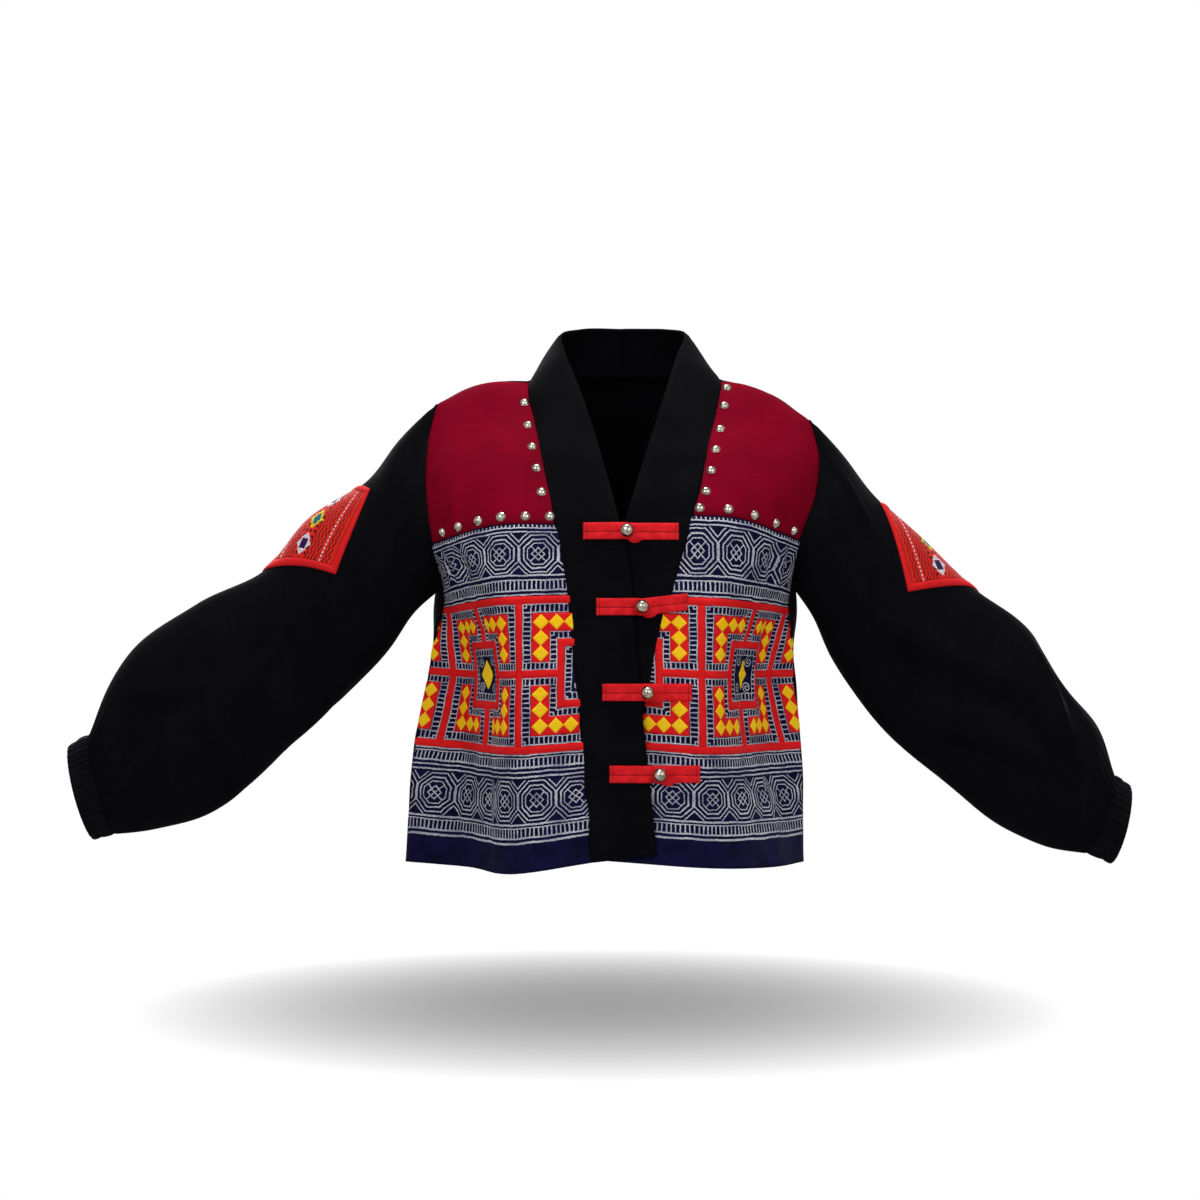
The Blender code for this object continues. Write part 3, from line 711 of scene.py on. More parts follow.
def feed(shader, **sources):
    """Links nodes or outputs to the shader's sockets, named with _ for a space."""
    for socket, source in sources.items():
        output = source.outputs[0] if isinstance(source, bpy.types.Node) else source
        shader.id_data.links.new(output, shader.inputs[socket.replace("_", " ")])


# Threads, in millimetres from one to the next. The real ones are 0.3 to 0.5 apart, too fine to
# show, so they are drawn about three times as coarse.
BLACK_THREADS = 1.4
CRIMSON_THREADS = 1.3
BATIK_THREADS = 1.3
RED_THREADS = 1.1
THREAD_HEIGHT = 0.0003  # in metres, as bump takes it


def weave(put, places, pitch):
    """The over and under of plain weave, from -1 to 1, with threads this far apart."""
    apart = put("SeparateXYZ", (places,))
    turns = [put("Math", (apart.outputs[axis], 2 * math.pi / pitch), operation="MULTIPLY")
             for axis in (0, 1)]
    warp, weft = (put("Math", (turn,), operation="SINE") for turn in turns)
    return put("Math", (warp, weft), operation="MULTIPLY")


def woven_cotton(name, dark, light, pitch, roughness, sheen, specular):
    """Plain-woven cotton, piece-dyed and unglazed. The eye sees a matt, even colour with a faint
    grain: two near shades mixed by slubs in the yarn and uneven dye, and its threads raised."""
    material, put, shader = new_finish(name, roughness, sheen=sheen, specular=specular)
    places = put("UVMap", uv_map="cloth")
    threads = weave(put, places, pitch)
    # a slub is about 30 mm long and 1 mm thick, and the dye varies over about 50 mm
    slub_places = put("Mapping", {"Vector": places, "Scale": (0.03, 0.9, 1)})
    slubs = put("TexNoise", {"Vector": slub_places, "Scale": 1.0, "Detail": 3.0})
    dye = put("TexNoise", {"Vector": places, "Scale": 0.02, "Detail": 4.0})
    uneven = put("Math", (slubs, dye), operation="MULTIPLY")
    grain = put("Math", (threads, 0.12), operation="MULTIPLY")
    shade = put("Math", (uneven, grain), operation="ADD")
    share = put("MapRange", {"Value": shade, "From Min": 0.1, "From Max": 0.4})
    tint = put("Mix", {"Factor": share, 6: colour(dark), 7: colour(light)}, data_type="RGBA")
    height = put("Math", (threads, slubs), operation="ADD")
    feed(shader, Base_Color=tint.outputs[2],
         Normal=put("Bump", {"Strength": 0.25, "Distance": THREAD_HEIGHT, "Height": height}))
    return material


# Batik lines, as the middle of each and half its width, in millimetres down from the yoke seam
WAX_LINES = [
    (4.7, 0.7), (8.9, 0.6), (52, 0.8), (57, 0.7), (67, 0.7), (71, 0.7), (225, 0.7), (228, 0.6),
    (237, 0.8), (241.5, 0.7), (246, 0.8), (291.2, 0.9), (294.4, 0.5), (304, 0.8), (308.6, 1.0),
]
COMB_BANDS = [(0, 4.5), (57, 67), (228, 237), (294.5, 303.5)]
OCTAGON_BANDS = [(10, 51), (248, 289.5)]
CELL_BAND = (72.5, 224)
COMB_MARK, OCTAGON_MARK, CELL_MARK = 0.3, 0.6, 0.9  # the grey that stands for each kind of band
COMB_PITCH, COMB_BAR = 4.3, 0.15  # a bar reaches this share of the pitch each way
CELL_COMB_PITCH, CELL_COMB_BAR = 4.6, 0.125
# In an octagon, from its middle: the edges of its frame, its rings, and what fills the inner one
OCTAGON_FRAME = (17.9, 19.1)
OCTAGON_RINGS = [(14.4, 0.72), (10.8, 0.5)]
OCTAGON_HEART, HEART_CROSS, HEART_DIAMOND = 10.7, 0.5, (4.6, 0.52)
CORNER_LINE = (22, 0.55)
OCTAGON_ROWS_PART = 150  # the lower row of octagons lies below this
# In a cell, as the middle and half width of each, outwards from the middle of the block
CELL_LINES = [(67.6, 0.6), (59.8, 0.4), (40.6, 0.4), (34.2, 0.5), (25.4, 0.5), (19.2, 0.4)]
CELL_COMBS = [(63.8, 4.2), (37.2, 3.8), (22.4, 3.2)]
# Beside the strip that parts two cells: the comb, how far out it starts, and the lines along it
STRIP_COMB, STRIP_COMB_START = (7.4, 3.6), 33.5
STRIP_LINE, OUTER_LINE, OUTER_LINE_RUN = (4.3, 0.5), (10.8, 0.4), (48, 20)
SPIRAL_MIDDLE = (12, 13)
SPIRAL_REACH, SPIRAL_PITCH, SPIRAL_LINE = 5.6, 3.0, 0.36


def indigo_batik(side):
    """Cotton drawn on with hot wax, dyed in indigo and boiled clean. The eye sees a mottled, nearly
    black blue, and off-white lines that waver with the hand, bleed at their edges and wear thin."""
    material, put, shader = new_finish(f"indigo_wax_batik_{side}", 0.88, specular=0.08)
    places = put("UVMap", uv_map="cloth")

    def joined(operation, *masks):
        """One mask from several: the MAXIMUM is any of them, and to MULTIPLY is all of them."""
        whole = masks[0]
        for mask in masks[1:]:
            whole = put("Math", (whole, mask), operation=operation)
        return whole

    def lines_at(value, *lines):
        """White within its half width of each line's middle."""
        drawn = [put("Math", (value, *line), operation="COMPARE") for line in lines]
        return joined("MAXIMUM", *drawn)

    def folded_about(value, middle, half):
        """How far the value is from the nearest of places that repeat every two halves."""
        moved = put("Math", (value, middle), operation="SUBTRACT")
        return put("Math", (moved, half), operation="PINGPONG")

    def bars(value, pitch, share):
        """A comb's bars: each narrow and white between dark ovals."""
        return put("Math", (folded_about(value, 0, pitch / 2), pitch * share),
                   operation="LESS_THAN")

    # the hand's wobble: about 1.2 mm over 20 mm, and 0.5 mm over 3 mm
    wobble = []
    for scale, detail, size in ((0.05, 1.0, 2.6), (0.35, 2.0, 1.3)):
        noise = put("TexNoise", {"Vector": places, "Scale": scale, "Detail": detail})
        centred = put("VectorMath", (noise.outputs["Color"], (0.5, 0.5, 0.5)),
                      operation="SUBTRACT")
        wobble.append(put("VectorMath", {0: centred, "Scale": size}, operation="SCALE"))
    both = put("VectorMath", wobble, operation="ADD")
    apart = put("SeparateXYZ", (put("VectorMath", (places, both), operation="ADD"),))
    across, down = apart.outputs[0], apart.outputs[1]
    true_down = put("SeparateXYZ", (places,)).outputs[1]

    bands = sorted([(*band, COMB_MARK) for band in COMB_BANDS]
                   + [(*band, OCTAGON_MARK) for band in OCTAGON_BANDS] + [(*CELL_BAND, CELL_MARK)])
    zone_stops = [(0, 0)]
    for start, end, mark in bands:
        zone_stops += [(start / HEM_BAND, mark), (end / HEM_BAND, 0)]
    share_down = put("Math", (down, 1 / HEM_BAND), operation="MULTIPLY")
    zone = put("SeparateColor", (set_stops(put("ValToRGB", (share_down,)), zone_stops),))

    # octagons, each in a cell of its own, in two rows
    low_row = put("Math", (true_down, OCTAGON_ROWS_PART), operation="GREATER_THAN")
    middle = put("Math", (low_row, OCTAGON_ROWS[1] - OCTAGON_ROWS[0], OCTAGON_ROWS[0]),
                 operation="MULTIPLY_ADD")
    upper, lower = OCTAGON_SHIFT[side]
    shift = put("Math", (low_row, lower - upper, upper), operation="MULTIPLY_ADD")
    x = put("Math", (OCTAGON / 2, folded_about(across, shift, OCTAGON / 2)), operation="SUBTRACT")
    y = put("Math", (put("Math", (down, middle), operation="SUBTRACT"),), operation="ABSOLUTE")
    slope = math.sqrt(0.5)
    total = put("Math", (put("Math", (x, y), operation="ADD"), slope), operation="MULTIPLY")
    gap = put("Math", (put("Math", (x, y), operation="SUBTRACT"),), operation="ABSOLUTE")
    cross = put("Math", (put("Math", (gap, slope), operation="MULTIPLY"), HEART_CROSS),
                operation="LESS_THAN")
    ring = joined("MAXIMUM", x, y, total)
    octagon = joined(
        "MAXIMUM",
        joined("MULTIPLY", put("Math", (ring, OCTAGON_FRAME[0]), operation="GREATER_THAN"),
               put("Math", (joined("MAXIMUM", y, total), OCTAGON_FRAME[1]),
                   operation="LESS_THAN")),
        lines_at(ring, *OCTAGON_RINGS),
        joined("MULTIPLY", put("Math", (ring, OCTAGON_HEART), operation="LESS_THAN"),
               joined("MAXIMUM", cross, lines_at(total, HEART_DIAMOND))),
        lines_at(total, CORNER_LINE))

    # cells: two by two of them make a block, folded here about the block's middle
    p = folded_about(across, BLOCK / 2, BLOCK / 2)
    q = put("Math", (put("Math", (down, BLOCK_MIDDLE), operation="SUBTRACT"),),
            operation="ABSOLUTE")
    most = joined("MAXIMUM", p, q)
    least = joined("MINIMUM", p, q)
    beside_strip = joined("MULTIPLY", lines_at(least, STRIP_COMB),
                          put("Math", (most, STRIP_COMB_START), operation="GREATER_THAN"))
    elsewhere = put("Math", (1, beside_strip), operation="SUBTRACT")
    # spirals between the middle diamond and its frame
    round_x = put("Math", (p, SPIRAL_MIDDLE[0]), operation="SUBTRACT")
    round_y = put("Math", (q, SPIRAL_MIDDLE[1]), operation="SUBTRACT")
    away = put("VectorMath", (put("CombineXYZ", (round_x, round_y)),),
               operation="LENGTH").outputs["Value"]
    turn = put("Math", (round_y, round_x), operation="ARCTAN2")
    coil = put("Math", (put("Math", (away, 1 / SPIRAL_PITCH), operation="MULTIPLY"),
                        put("Math", (turn, 1 / (2 * math.pi)), operation="MULTIPLY")),
               operation="ADD")
    spiral = joined("MULTIPLY", put("Math", (away, SPIRAL_REACH), operation="LESS_THAN"),
                    put("Math", (put("Math", (coil,), operation="FRACT"), SPIRAL_LINE),
                        operation="LESS_THAN"))
    cell = joined(
        "MAXIMUM",
        joined("MULTIPLY", beside_strip, bars(most, CELL_COMB_PITCH, CELL_COMB_BAR)),
        joined("MULTIPLY", elsewhere, lines_at(most, *CELL_COMBS),
               bars(least, CELL_COMB_PITCH, CELL_COMB_BAR)),
        lines_at(most, *CELL_LINES),
        joined("MULTIPLY", beside_strip, lines_at(least, STRIP_LINE)),
        joined("MULTIPLY", lines_at(most, OUTER_LINE_RUN), lines_at(least, OUTER_LINE)),
        spiral)
    designs = ((COMB_MARK, bars(across, COMB_PITCH, COMB_BAR)), (OCTAGON_MARK, octagon),
               (CELL_MARK, cell))
    wax = joined("MAXIMUM", lines_at(down, *WAX_LINES),
                 *[joined("MULTIPLY", lines_at(zone, (mark, 0.1)), design)
                   for mark, design in designs])

    # dye that crept under the wax, and places where the wax cracked, so that the white wore thin
    threads = weave(put, places, BATIK_THREADS)
    creep = put("TexNoise", {"Vector": places, "Scale": 0.8, "Detail": 5.0, "Roughness": 0.7})
    thin = put("TexNoise", {"Vector": places, "Scale": 0.035, "Detail": 3.0})
    kept = joined("MULTIPLY",
                  put("MapRange", {"Value": creep, "From Min": 0.33, "From Max": 0.55}),
                  put("MapRange", {"Value": thin, "From Min": 0.42, "From Max": 0.66,
                                   "To Min": 1.0, "To Max": 0.45}))
    mottle = put("TexNoise", {"Vector": places, "Scale": 0.04, "Detail": 6.0, "Roughness": 0.65})
    mottled = put("MapRange", {"Value": mottle, "From Min": 0.35, "From Max": 0.7})
    deep = put("Mix", {"Factor": mottled, 6: colour("0b0826"), 7: colour("171442")},
               data_type="RGBA")
    pale = put("Mix", {"Factor": kept, 6: colour("45446e"), 7: colour("dfe1e8")},
               data_type="RGBA")
    dyed = put("Mix", {"Factor": wax, 6: deep.outputs[2], 7: pale.outputs[2]}, data_type="RGBA")
    thread_shade = put("MapRange", {"Value": threads, "From Min": -1.0, "From Max": 1.0,
                                    "To Min": 0.84, "To Max": 1.1})
    height = put("Math", (threads, creep), operation="ADD")
    feed(shader,
         Base_Color=put("VectorMath", {0: dyed.outputs[2], "Scale": thread_shade},
                        operation="SCALE"),
         Normal=put("Bump", {"Strength": 0.3, "Distance": THREAD_HEIGHT, "Height": height}))
    return material


def red_tape():
    """Bright red cotton, folded into a strap and pressed. The eye sees a satiny flat red, crossed
    along its length by painted shade in the groove where its two folded edges meet, and near its end
    by a dark stitch line."""
    material, put, shader = new_finish("folded_red_cotton_tape", 0.78, specular=0.12)
    places = put("UVMap", uv_map="cloth")
    apart = put("SeparateXYZ", (places,))
    # the line strays by 0.8 mm over about 8 mm
    waver = put("TexNoise", {"Vector": places, "Scale": 0.12, "Detail": 2.0})
    strayed = put("Math", (put("Math", (waver, 0.5), operation="SUBTRACT"), 1.6),
                  operation="MULTIPLY")
    up = put("Math", (apart.outputs[1], strayed), operation="ADD")
    # painted shade: the groove where the two folded edges meet is drawn as a dark line
    painted_groove_shade = put("Math", (up, -0.6, 0.42), operation="COMPARE")
    stitched_end = put("Math", (apart.outputs[0], 3.4, 0.3), operation="COMPARE")
    line = put("Math", (painted_groove_shade, stitched_end), operation="MAXIMUM")
    threads = weave(put, places, RED_THREADS)
    dye = put("TexNoise", {"Vector": places, "Scale": 0.09, "Detail": 5.0})
    uneven = put("MapRange", {"Value": dye, "From Min": 0.3, "From Max": 0.7})
    base = put("Mix", {"Factor": uneven, 6: colour("cc121a"), 7: colour("f0242c")},
               data_type="RGBA")
    # the dark red 5a060c is painted shade in the groove, and the stitching's own dark colour near the
    # end
    groove_shaded = put("Mix", {"Factor": put("Math", (line, 0.75), operation="MULTIPLY"),
                         6: base.outputs[2], 7: colour("5a060c")}, data_type="RGBA")
    height = put("Math", (put("Math", (threads, 0.4), operation="MULTIPLY"),
                          put("Math", (line, 2), operation="MULTIPLY")), operation="SUBTRACT")
    feed(shader, Base_Color=groove_shaded.outputs[2],
         Normal=put("Bump", {"Strength": 0.4, "Distance": THREAD_HEIGHT, "Height": height}))
    return material


def embroidery_thread():
    """Mercerised cotton thread, twisted from plies. The eye sees a soft gloss along each stitch,
    a fine diagonal twist, and the stitch's own colour, with painted shade on the rim round each
    stitch."""
    material, put, shader = new_finish("mercerised_thread", 0.55, specular=0.15)
    # the thread attribute holds each stitch's own colour, and half of it on each stitch's rim as
    # painted shade
    dyed = put("Attribute", attribute_name="thread")
    places = put("UVMap", uv_map="cloth")
    # one twist of the ply to about 1 mm
    ply = put("TexWave", {"Vector": places, "Scale": 0.9, "Distortion": 1.5, "Detail": 1.0},
              bands_direction="DIAGONAL").outputs["Fac"]
    shade = put("MapRange", {"Value": ply, "To Min": 0.8, "To Max": 1.08})
    feed(shader,
         Base_Color=put("VectorMath", {0: dyed.outputs["Color"], "Scale": shade},
                        operation="SCALE"),
         Normal=put("Bump", {"Strength": 0.35, "Distance": 0.0002, "Height": ply}))
    return material


def silver_alloy():
    """White metal, pressed from sheet and polished, then worn by hands. The eye sees a bright
    mirror with a warm, faintly patchy grey."""
    material, put, shader = new_finish("polished_white_metal", 0.2, metallic=1.0)
    # patches of tarnish about 4 mm across
    patches = put("TexNoise", {"Vector": put("TexCoord").outputs["Object"], "Scale": 260.0,
                               "Detail": 4.0})
    polished = put("MapRange", {"Value": patches, "From Min": 0.35, "From Max": 0.65})
    tint = put("Mix", {"Factor": polished, 6: colour("9a917e"), 7: colour("f2ecdc")},
               data_type="RGBA")
    feed(shader, Base_Color=tint.outputs[2],
         Roughness=put("MapRange", {"Value": patches, "From Min": 0.3, "From Max": 0.7,
                                    "To Min": 0.26, "To Max": 0.12}),
         Normal=put("Bump", {"Strength": 0.12, "Distance": 0.0002, "Height": patches}))
    return material


# Each cotton's name, its two shades, its threads, its roughness, its sheen and its gloss
finishes = {
    # soft and unglazed, so it drinks the light and only its creases show
    "black": woven_cotton("black_plain_weave_cotton", "030306", "0a0a10", BLACK_THREADS,
                          0.9, 0.0, 0.07),
    # the same cloth, crowded together: its lighter shade 0b0b12 is painted light for the light the
    # crowding catches, and it has a little sheen and gloss
    "gathered": woven_cotton("gathered_black_cotton", "030306", "0b0b12", BLACK_THREADS,
                             0.85, 0.01, 0.09),
    # a deep, flat red of close cloth, with next to no gloss
    "crimson": woven_cotton("crimson_plain_weave_cotton", "6c0018", "880020", CRIMSON_THREADS,
                            0.85, 0.0, 0.04),
    # thin, bright and a little shiny, because it was pressed to turn its edges under
    "red": woven_cotton("red_applique_cotton", "d01216", "f42226", RED_THREADS, 0.8, 0.0, 0.1),
    "yellow": woven_cotton("yellow_applique_cotton", "ffb800", "ffe028", RED_THREADS,
                           0.8, 0.0, 0.1),
    # cut on the bias, so its threads lie slanted and it rounds smoothly over the square's edge
    "binding": woven_cotton("dark_red_bias_binding", "c01016", "e81c20", RED_THREADS,
                            0.75, 0.02, 0.15),
    "tape": red_tape(),
    "thread": embroidery_thread(),
    "silver": silver_alloy(),
}
for wearer_side in FRONT:
    finishes[f"batik_{wearer_side}"] = indigo_batik(wearer_side)


# Pieces

SIDES = tuple(FRONT)
OUTWARD = {"right": -1, "left": 1}
EDGE_GAP = 0.5  # between two pieces that are sewn to each other
cloths = {}  # each panel's cloth, by its name and its side, for the work that is laid on it


def design_across(side, points, down):
    """Where each point of a front falls across its design, whose first strip is at 0."""
    arcs, outward = lengths_across(points), OUTWARD[side]
    drawn = np.empty(arcs.shape)
    for row, (line, arc) in enumerate(zip(points, arcs)):
        arc = arc - np.interp(outward * FIRST_STRIP[side], outward * line[:, 0], arc)
        rows = [np.interp(arc, (lengths[0] - BLOCK, *lengths, lengths[-1] + BLOCK),
                          (design[0] - BLOCK, *design, design[-1] + BLOCK))
                for _, lengths, design in DESIGN[side]]
        places = [place for place, _, _ in DESIGN[side]]
        share = np.interp(down[row], places, range(len(places)))
        low = min(int(share), len(rows) - 2)
        drawn[row] = rows[low] * (1 - share + low) + rows[low + 1] * (share - low)
    return drawn


def cells(start, end, size):
    """Even places from start to end, about size apart."""
    return np.linspace(start, end, max(2, round((end - start) / size)) + 1)


def trough(distance, reach):
    """1 at a line where the cloth is drawn in, fading to 0 with the distance from it."""
    return np.exp(-(distance / reach) ** 2)


def sew(name, node, points, down, folds, seed, finish, slot, wall=CLOTH_WALL, held="draped",
        across=None, **shaping):
    """Makes a panel from its flat grid of points. Returns its cloth."""
    across = lengths_across(points) if across is None else across
    drops = np.repeat(down[:, None], points.shape[1], axis=1)
    cloth = folded(points, across, drops, folds, seed, **shaping)
    piece = make(name, grid_of(cloth), finishes[finish], wall, [node])
    declare(points)
    return cloth


def make_fronts():
    """The two crimson yokes and, sewn below them, the two batik fronts."""
    for side in SIDES:
        for panel, top, bottom, folds, name, finish, slot in (
            ("yoke", EDGE_GAP, YOKE_SEAM - EDGE_GAP / 2, YOKE_FOLDS[side],
             "crimson_yoke", "crimson", "crimson_cotton"),
            ("front", YOKE_SEAM + EDGE_GAP / 2, HEM, FRONT_FOLDS[side],
             "batik_front", f"batik_{side}", "indigo_batik"),
        ):
            down = cells(top, bottom, 4)
            width = lengths_across(front(side, down, np.linspace(0, 1, 9)))[:, -1].mean()
            points = front(side, down, np.linspace(0, 1 - EDGE_GAP / width, 41))
            drop = down - YOKE_SEAM
            # the yoke's edge and the batik's dip into the seam between them
            dip = pressed(lengths_across(points)) - SEAM_DIP * trough(drop, 3)[:, None]
            cloths[panel, side] = sew(
                f"{name}_{side}", f"{panel}_{side}", points, drop, folds, len(folds), finish, slot,
                across=design_across(side, points, drop), flip=side == "left", more=dip)


def make_bands():
    """The neck band's two halves, folded softly along their free edge."""
    for side in SIDES:
        down = cells(NECK_BACK, HEM, 4.5)
        points = band(side, down, np.linspace(-0.05, 1, 16))
        points[0, :, 0] = OUTWARD[side] * EDGE_GAP / 2  # they meet at the back of the neck
        across = lengths_across(points)
        dip = pressed(across, (True, False), 0.6, 3) - 1.1 * trough(across[:, -1:] - across, 2.2)
        cloths["band", side] = sew(
            f"black_band_{side}", f"band_{side}", points, down, BAND_FOLDS[side], 11 + len(side),
            "black", "black_cotton", BAND_WALL, "folded", flip=side == "right", more=dip)


def make_back():
    """The plain back, in one piece."""
    down = cells(EDGE_GAP, HEM, 5)
    points = back(down, cells(0, 1, 0.0095))
    cloths["back", "middle"] = sew(
        "black_back", "back", points, down, BACK_FOLDS, 3, "black", "black_cotton",
        more=pressed(lengths_across(points)))


GATHERS = 36
GATHER_DEPTH = 2.0
GATHER_REACH = 62  # how far up the sleeve the gathers run before they fade out
ELASTIC_ROWS = (2, 15)  # how far down the cuff the elastic inside pulls it in


def gathers(around, seed):
    """How far the gathers lift each place round a cuff: no two are as wide or as deep."""
    draw = np.random.default_rng(seed)
    widths = draw.uniform(0.6, 1.5, GATHERS)
    ends = np.append(0, widths.cumsum()) / widths.sum()
    deep = draw.uniform(0.45, 1.0, GATHERS)
    lift = np.zeros(around.shape)
    for start, end, depth in zip(ends, ends[1:], deep):
        share = (around - start) / (end - start)
        inside = (around >= start) & (around < end)
        lift = np.where(inside, -depth * np.sin(math.pi * share) ** 2, lift)
    return GATHER_DEPTH * lift[None]


def make_sleeves():
    """The two full sleeves, each with its narrow gathered cuff."""
    around = np.linspace(0, 1, 217)
    turn = 2 * math.pi * around[None]
    for side in SIDES:
        seed = 5 + len(side)
        way = {"flip": side == "right", "tube": True, "held": "gathered"}
        along = cells(-0.007, 1, 0.0105)  # its edge is tucked under the body
        down = along * SLEEVE_LENGTH
        drop = down[:, None]
        lift = gathers(around, seed) * trough(SLEEVE_LENGTH - drop, GATHER_REACH / 1.6)
        lift = lift - trough(drop, 4)  # it dips into the armhole seam
        # the sleeve's hanging cloth, a little uneven all over
        lift += 0.8 * np.sin(3 * turn + drop / 37) * np.sin(drop / 41 + 1.3)
        lift += 0.6 * np.sin(5 * turn - drop / 29 + 0.7) * np.sin(drop / 63)
        cloths["sleeve", side] = sew(
            f"black_sleeve_{side}", f"sleeve_{side}", sleeve(side, along, around), down,
            SLEEVE_FOLDS[side], seed, "black", "black_cotton", more=lift, **way)

        along = cells(0, 1, 0.1)
        down = along * CUFF_LENGTH
        drop = down[:, None]
        lift = gathers(around, seed) * (0.8 + 0.5 * np.sin(drop / 7 + 0.6))
        lift = lift - 0.9 * sum(trough(drop - row, 2) for row in ELASTIC_ROWS)
        sew(f"gathered_cuff_{side}", f"cuff_{side}", cuff(side, along, around),
            down + SLEEVE_LENGTH, [], seed, "gathered", "gathered_cotton", CUFF_WALL, more=lift,
            **way)


# Applique: the red is sewn to the batik, and the yellow to the red

APPLIQUE_EDGE, APPLIQUE_RISE, APPLIQUE_RIM = 0.1, 0.85, 0.6
BLOCKS = [share * BLOCK for share in (-1.5, -0.5, 0.5, 1.5)]
STRIP_START = 30  # from the middle of a block to the short strips that part its cells
L_INNER, L_CORNER, L_OUTER = 11, 41, 59
RING_INNER, RING_OUTER = 26, 33.5  # of the square ring round the middle diamond
DIAMOND_EDGE, DIAMOND_RISE, DIAMOND_RIM = 0.9, 0.6, 0.5
MIDDLE_DIAMOND = (11, 14.5)
DIAMOND_HALF = 7.8
DIAMONDS = ((50, 50), (50, 34.5), (50, 19.5), (34.5, 50), (19.5, 50))


def patch(bm, low, high, size=3.4, middle=(0, 0), cut=0):
    """Adds a flat rectangle in cells of about this size, less a square cut out round a middle."""
    counts = [max(1, round((end - start) / size)) for start, end in zip(low, high)]
    place = Matrix.Translation((*[(start + end) / 2 for start, end in zip(low, high)],
                                APPLIQUE_EDGE))
    shape = Matrix.Diagonal((high[0] - low[0], high[1] - low[1], 1, 1))
    verts = bmesh.ops.create_grid(bm, x_segments=counts[0], y_segments=counts[1], size=0.5,
                                  matrix=place @ shape)["verts"]
    if cut:
        cut_out(bm, {face for vert in verts for face in vert.link_faces}, middle, cut)


def cut_out(bm, faces, middle, reach):
    """Removes those of the faces that lie in a square, reach each way from its middle."""
    gone = [face for face in faces
            if max(abs(face.calc_center_median()[axis] - middle[axis]) for axis in (0, 1)) < reach]
    bmesh.ops.delete(bm, geom=gone, context="FACES")


def turned_under(bm, rise, rim):
    """Raises every patch inside its edge, which is turned under and sewn down."""
    bmesh.ops.inset_region(bm, faces=bm.faces[:], thickness=rim, depth=rise, use_boundary=True,
                           use_even_offset=True)


def red_pieces():
    """The red strips, square rings and patches, laid flat in the design's own places."""
    bm = bmesh.new()
    half = STRIP_WIDTH / 2
    top, bottom = BLOCK_MIDDLE - BLOCK / 2, BLOCK_MIDDLE + BLOCK / 2
    for line in (top, bottom):
        patch(bm, (-2 * BLOCK, line - half), (2 * BLOCK, line + half))
    for line in (-BLOCK, 0, BLOCK):
        patch(bm, (line - half, top + half), (line + half, bottom - half))
    for block in BLOCKS:
        middle = (block, BLOCK_MIDDLE)
        for way in (-1, 1):
            start, end = sorted((STRIP_START * way, (BLOCK / 2 - half) * way))
            patch(bm, (block - half, BLOCK_MIDDLE + start), (block + half, BLOCK_MIDDLE + end))
            patch(bm, (block + start, BLOCK_MIDDLE - half), (block + end, BLOCK_MIDDLE + half))
            for other in (-1, 1):
                across, down = (sorted((L_INNER * sign, L_OUTER * sign)) for sign in (way, other))
                patch(bm, (block + across[0], BLOCK_MIDDLE + down[0]),
                      (block + across[1], BLOCK_MIDDLE + down[1]), 3.0, middle, L_CORNER)
        patch(bm, (block - RING_OUTER, BLOCK_MIDDLE - RING_OUTER),
              (block + RING_OUTER, BLOCK_MIDDLE + RING_OUTER), 3.72, middle, RING_INNER)
    turned_under(bm, APPLIQUE_RISE, APPLIQUE_RIM)
    return bm


def diamond(bm, x, y, width, height):
    """Adds a flat diamond in small cells, a little higher than the red it is sewn to."""
    place = Matrix.Translation((x, y, DIAMOND_EDGE)) @ Matrix.Diagonal((width, height, 1, 1))
    bmesh.ops.create_grid(bm, x_segments=5, y_segments=5, size=math.sqrt(0.5),
                          matrix=place @ Matrix.Rotation(math.pi / 4, 4, "Z"))


def yellow_pieces():
    """The yellow diamonds: a tall one in the middle of each block, and five on each L."""
    bm = bmesh.new()
    for block in BLOCKS:
        diamond(bm, block, BLOCK_MIDDLE, *MIDDLE_DIAMOND)
        for way in (-1, 1):
            for other in (-1, 1):
                for x, y in DIAMONDS:
                    diamond(bm, block + way * x, BLOCK_MIDDLE + other * y, DIAMOND_HALF,
                            DIAMOND_HALF)
    turned_under(bm, DIAMOND_RISE, DIAMOND_RIM)
    return bm


def make_applique():
    """The red and yellow pieces of each front."""
    for side in SIDES:
        for name, bm, finish, slot, wide in (
            ("red_applique", red_pieces(), "red", "red_cotton", STRIP_WIDTH + 4),
            ("yellow_diamonds", yellow_pieces(), "yellow", None, 11),
        ):
            lay_on(bm, cloths["front", side])
            area = sum(face.calc_area() for face in bm.faces)
            piece = make(f"{name}_{side}", bm, finishes[finish])


# Embroidered squares

STITCHES = 60  # each way; a real one has about twice as many, too fine to show
STITCH_RIM, STITCH_RISE = 0.2, 0.24
SQUARE_RISE = 0.9
SQUARE_MIDDLE = (SQUARE_SIDE / 2, SQUARE_SIDE / 2)
SQUARE_INNER = SQUARE_SIDE - 2 * BINDING_WIDTH
BINDING_EDGE, BINDING_RISE, BINDING_WALL = 0.4, 1.7, 0.5
THREADS = {"ground": "f4240f", "maroon": "5a0010", "white": "f0e6f0", "yellow": "e8e020",
           "teal": "0a6a80", "purple": "35004e"}
ZIGZAG_ROWS = (3, 6, 13, 16, 19, 22)  # counted in from either edge
DASHED_ROW = 10
STAR, LOZENGES = 31, (12, 50)  # where they stand along the middle row


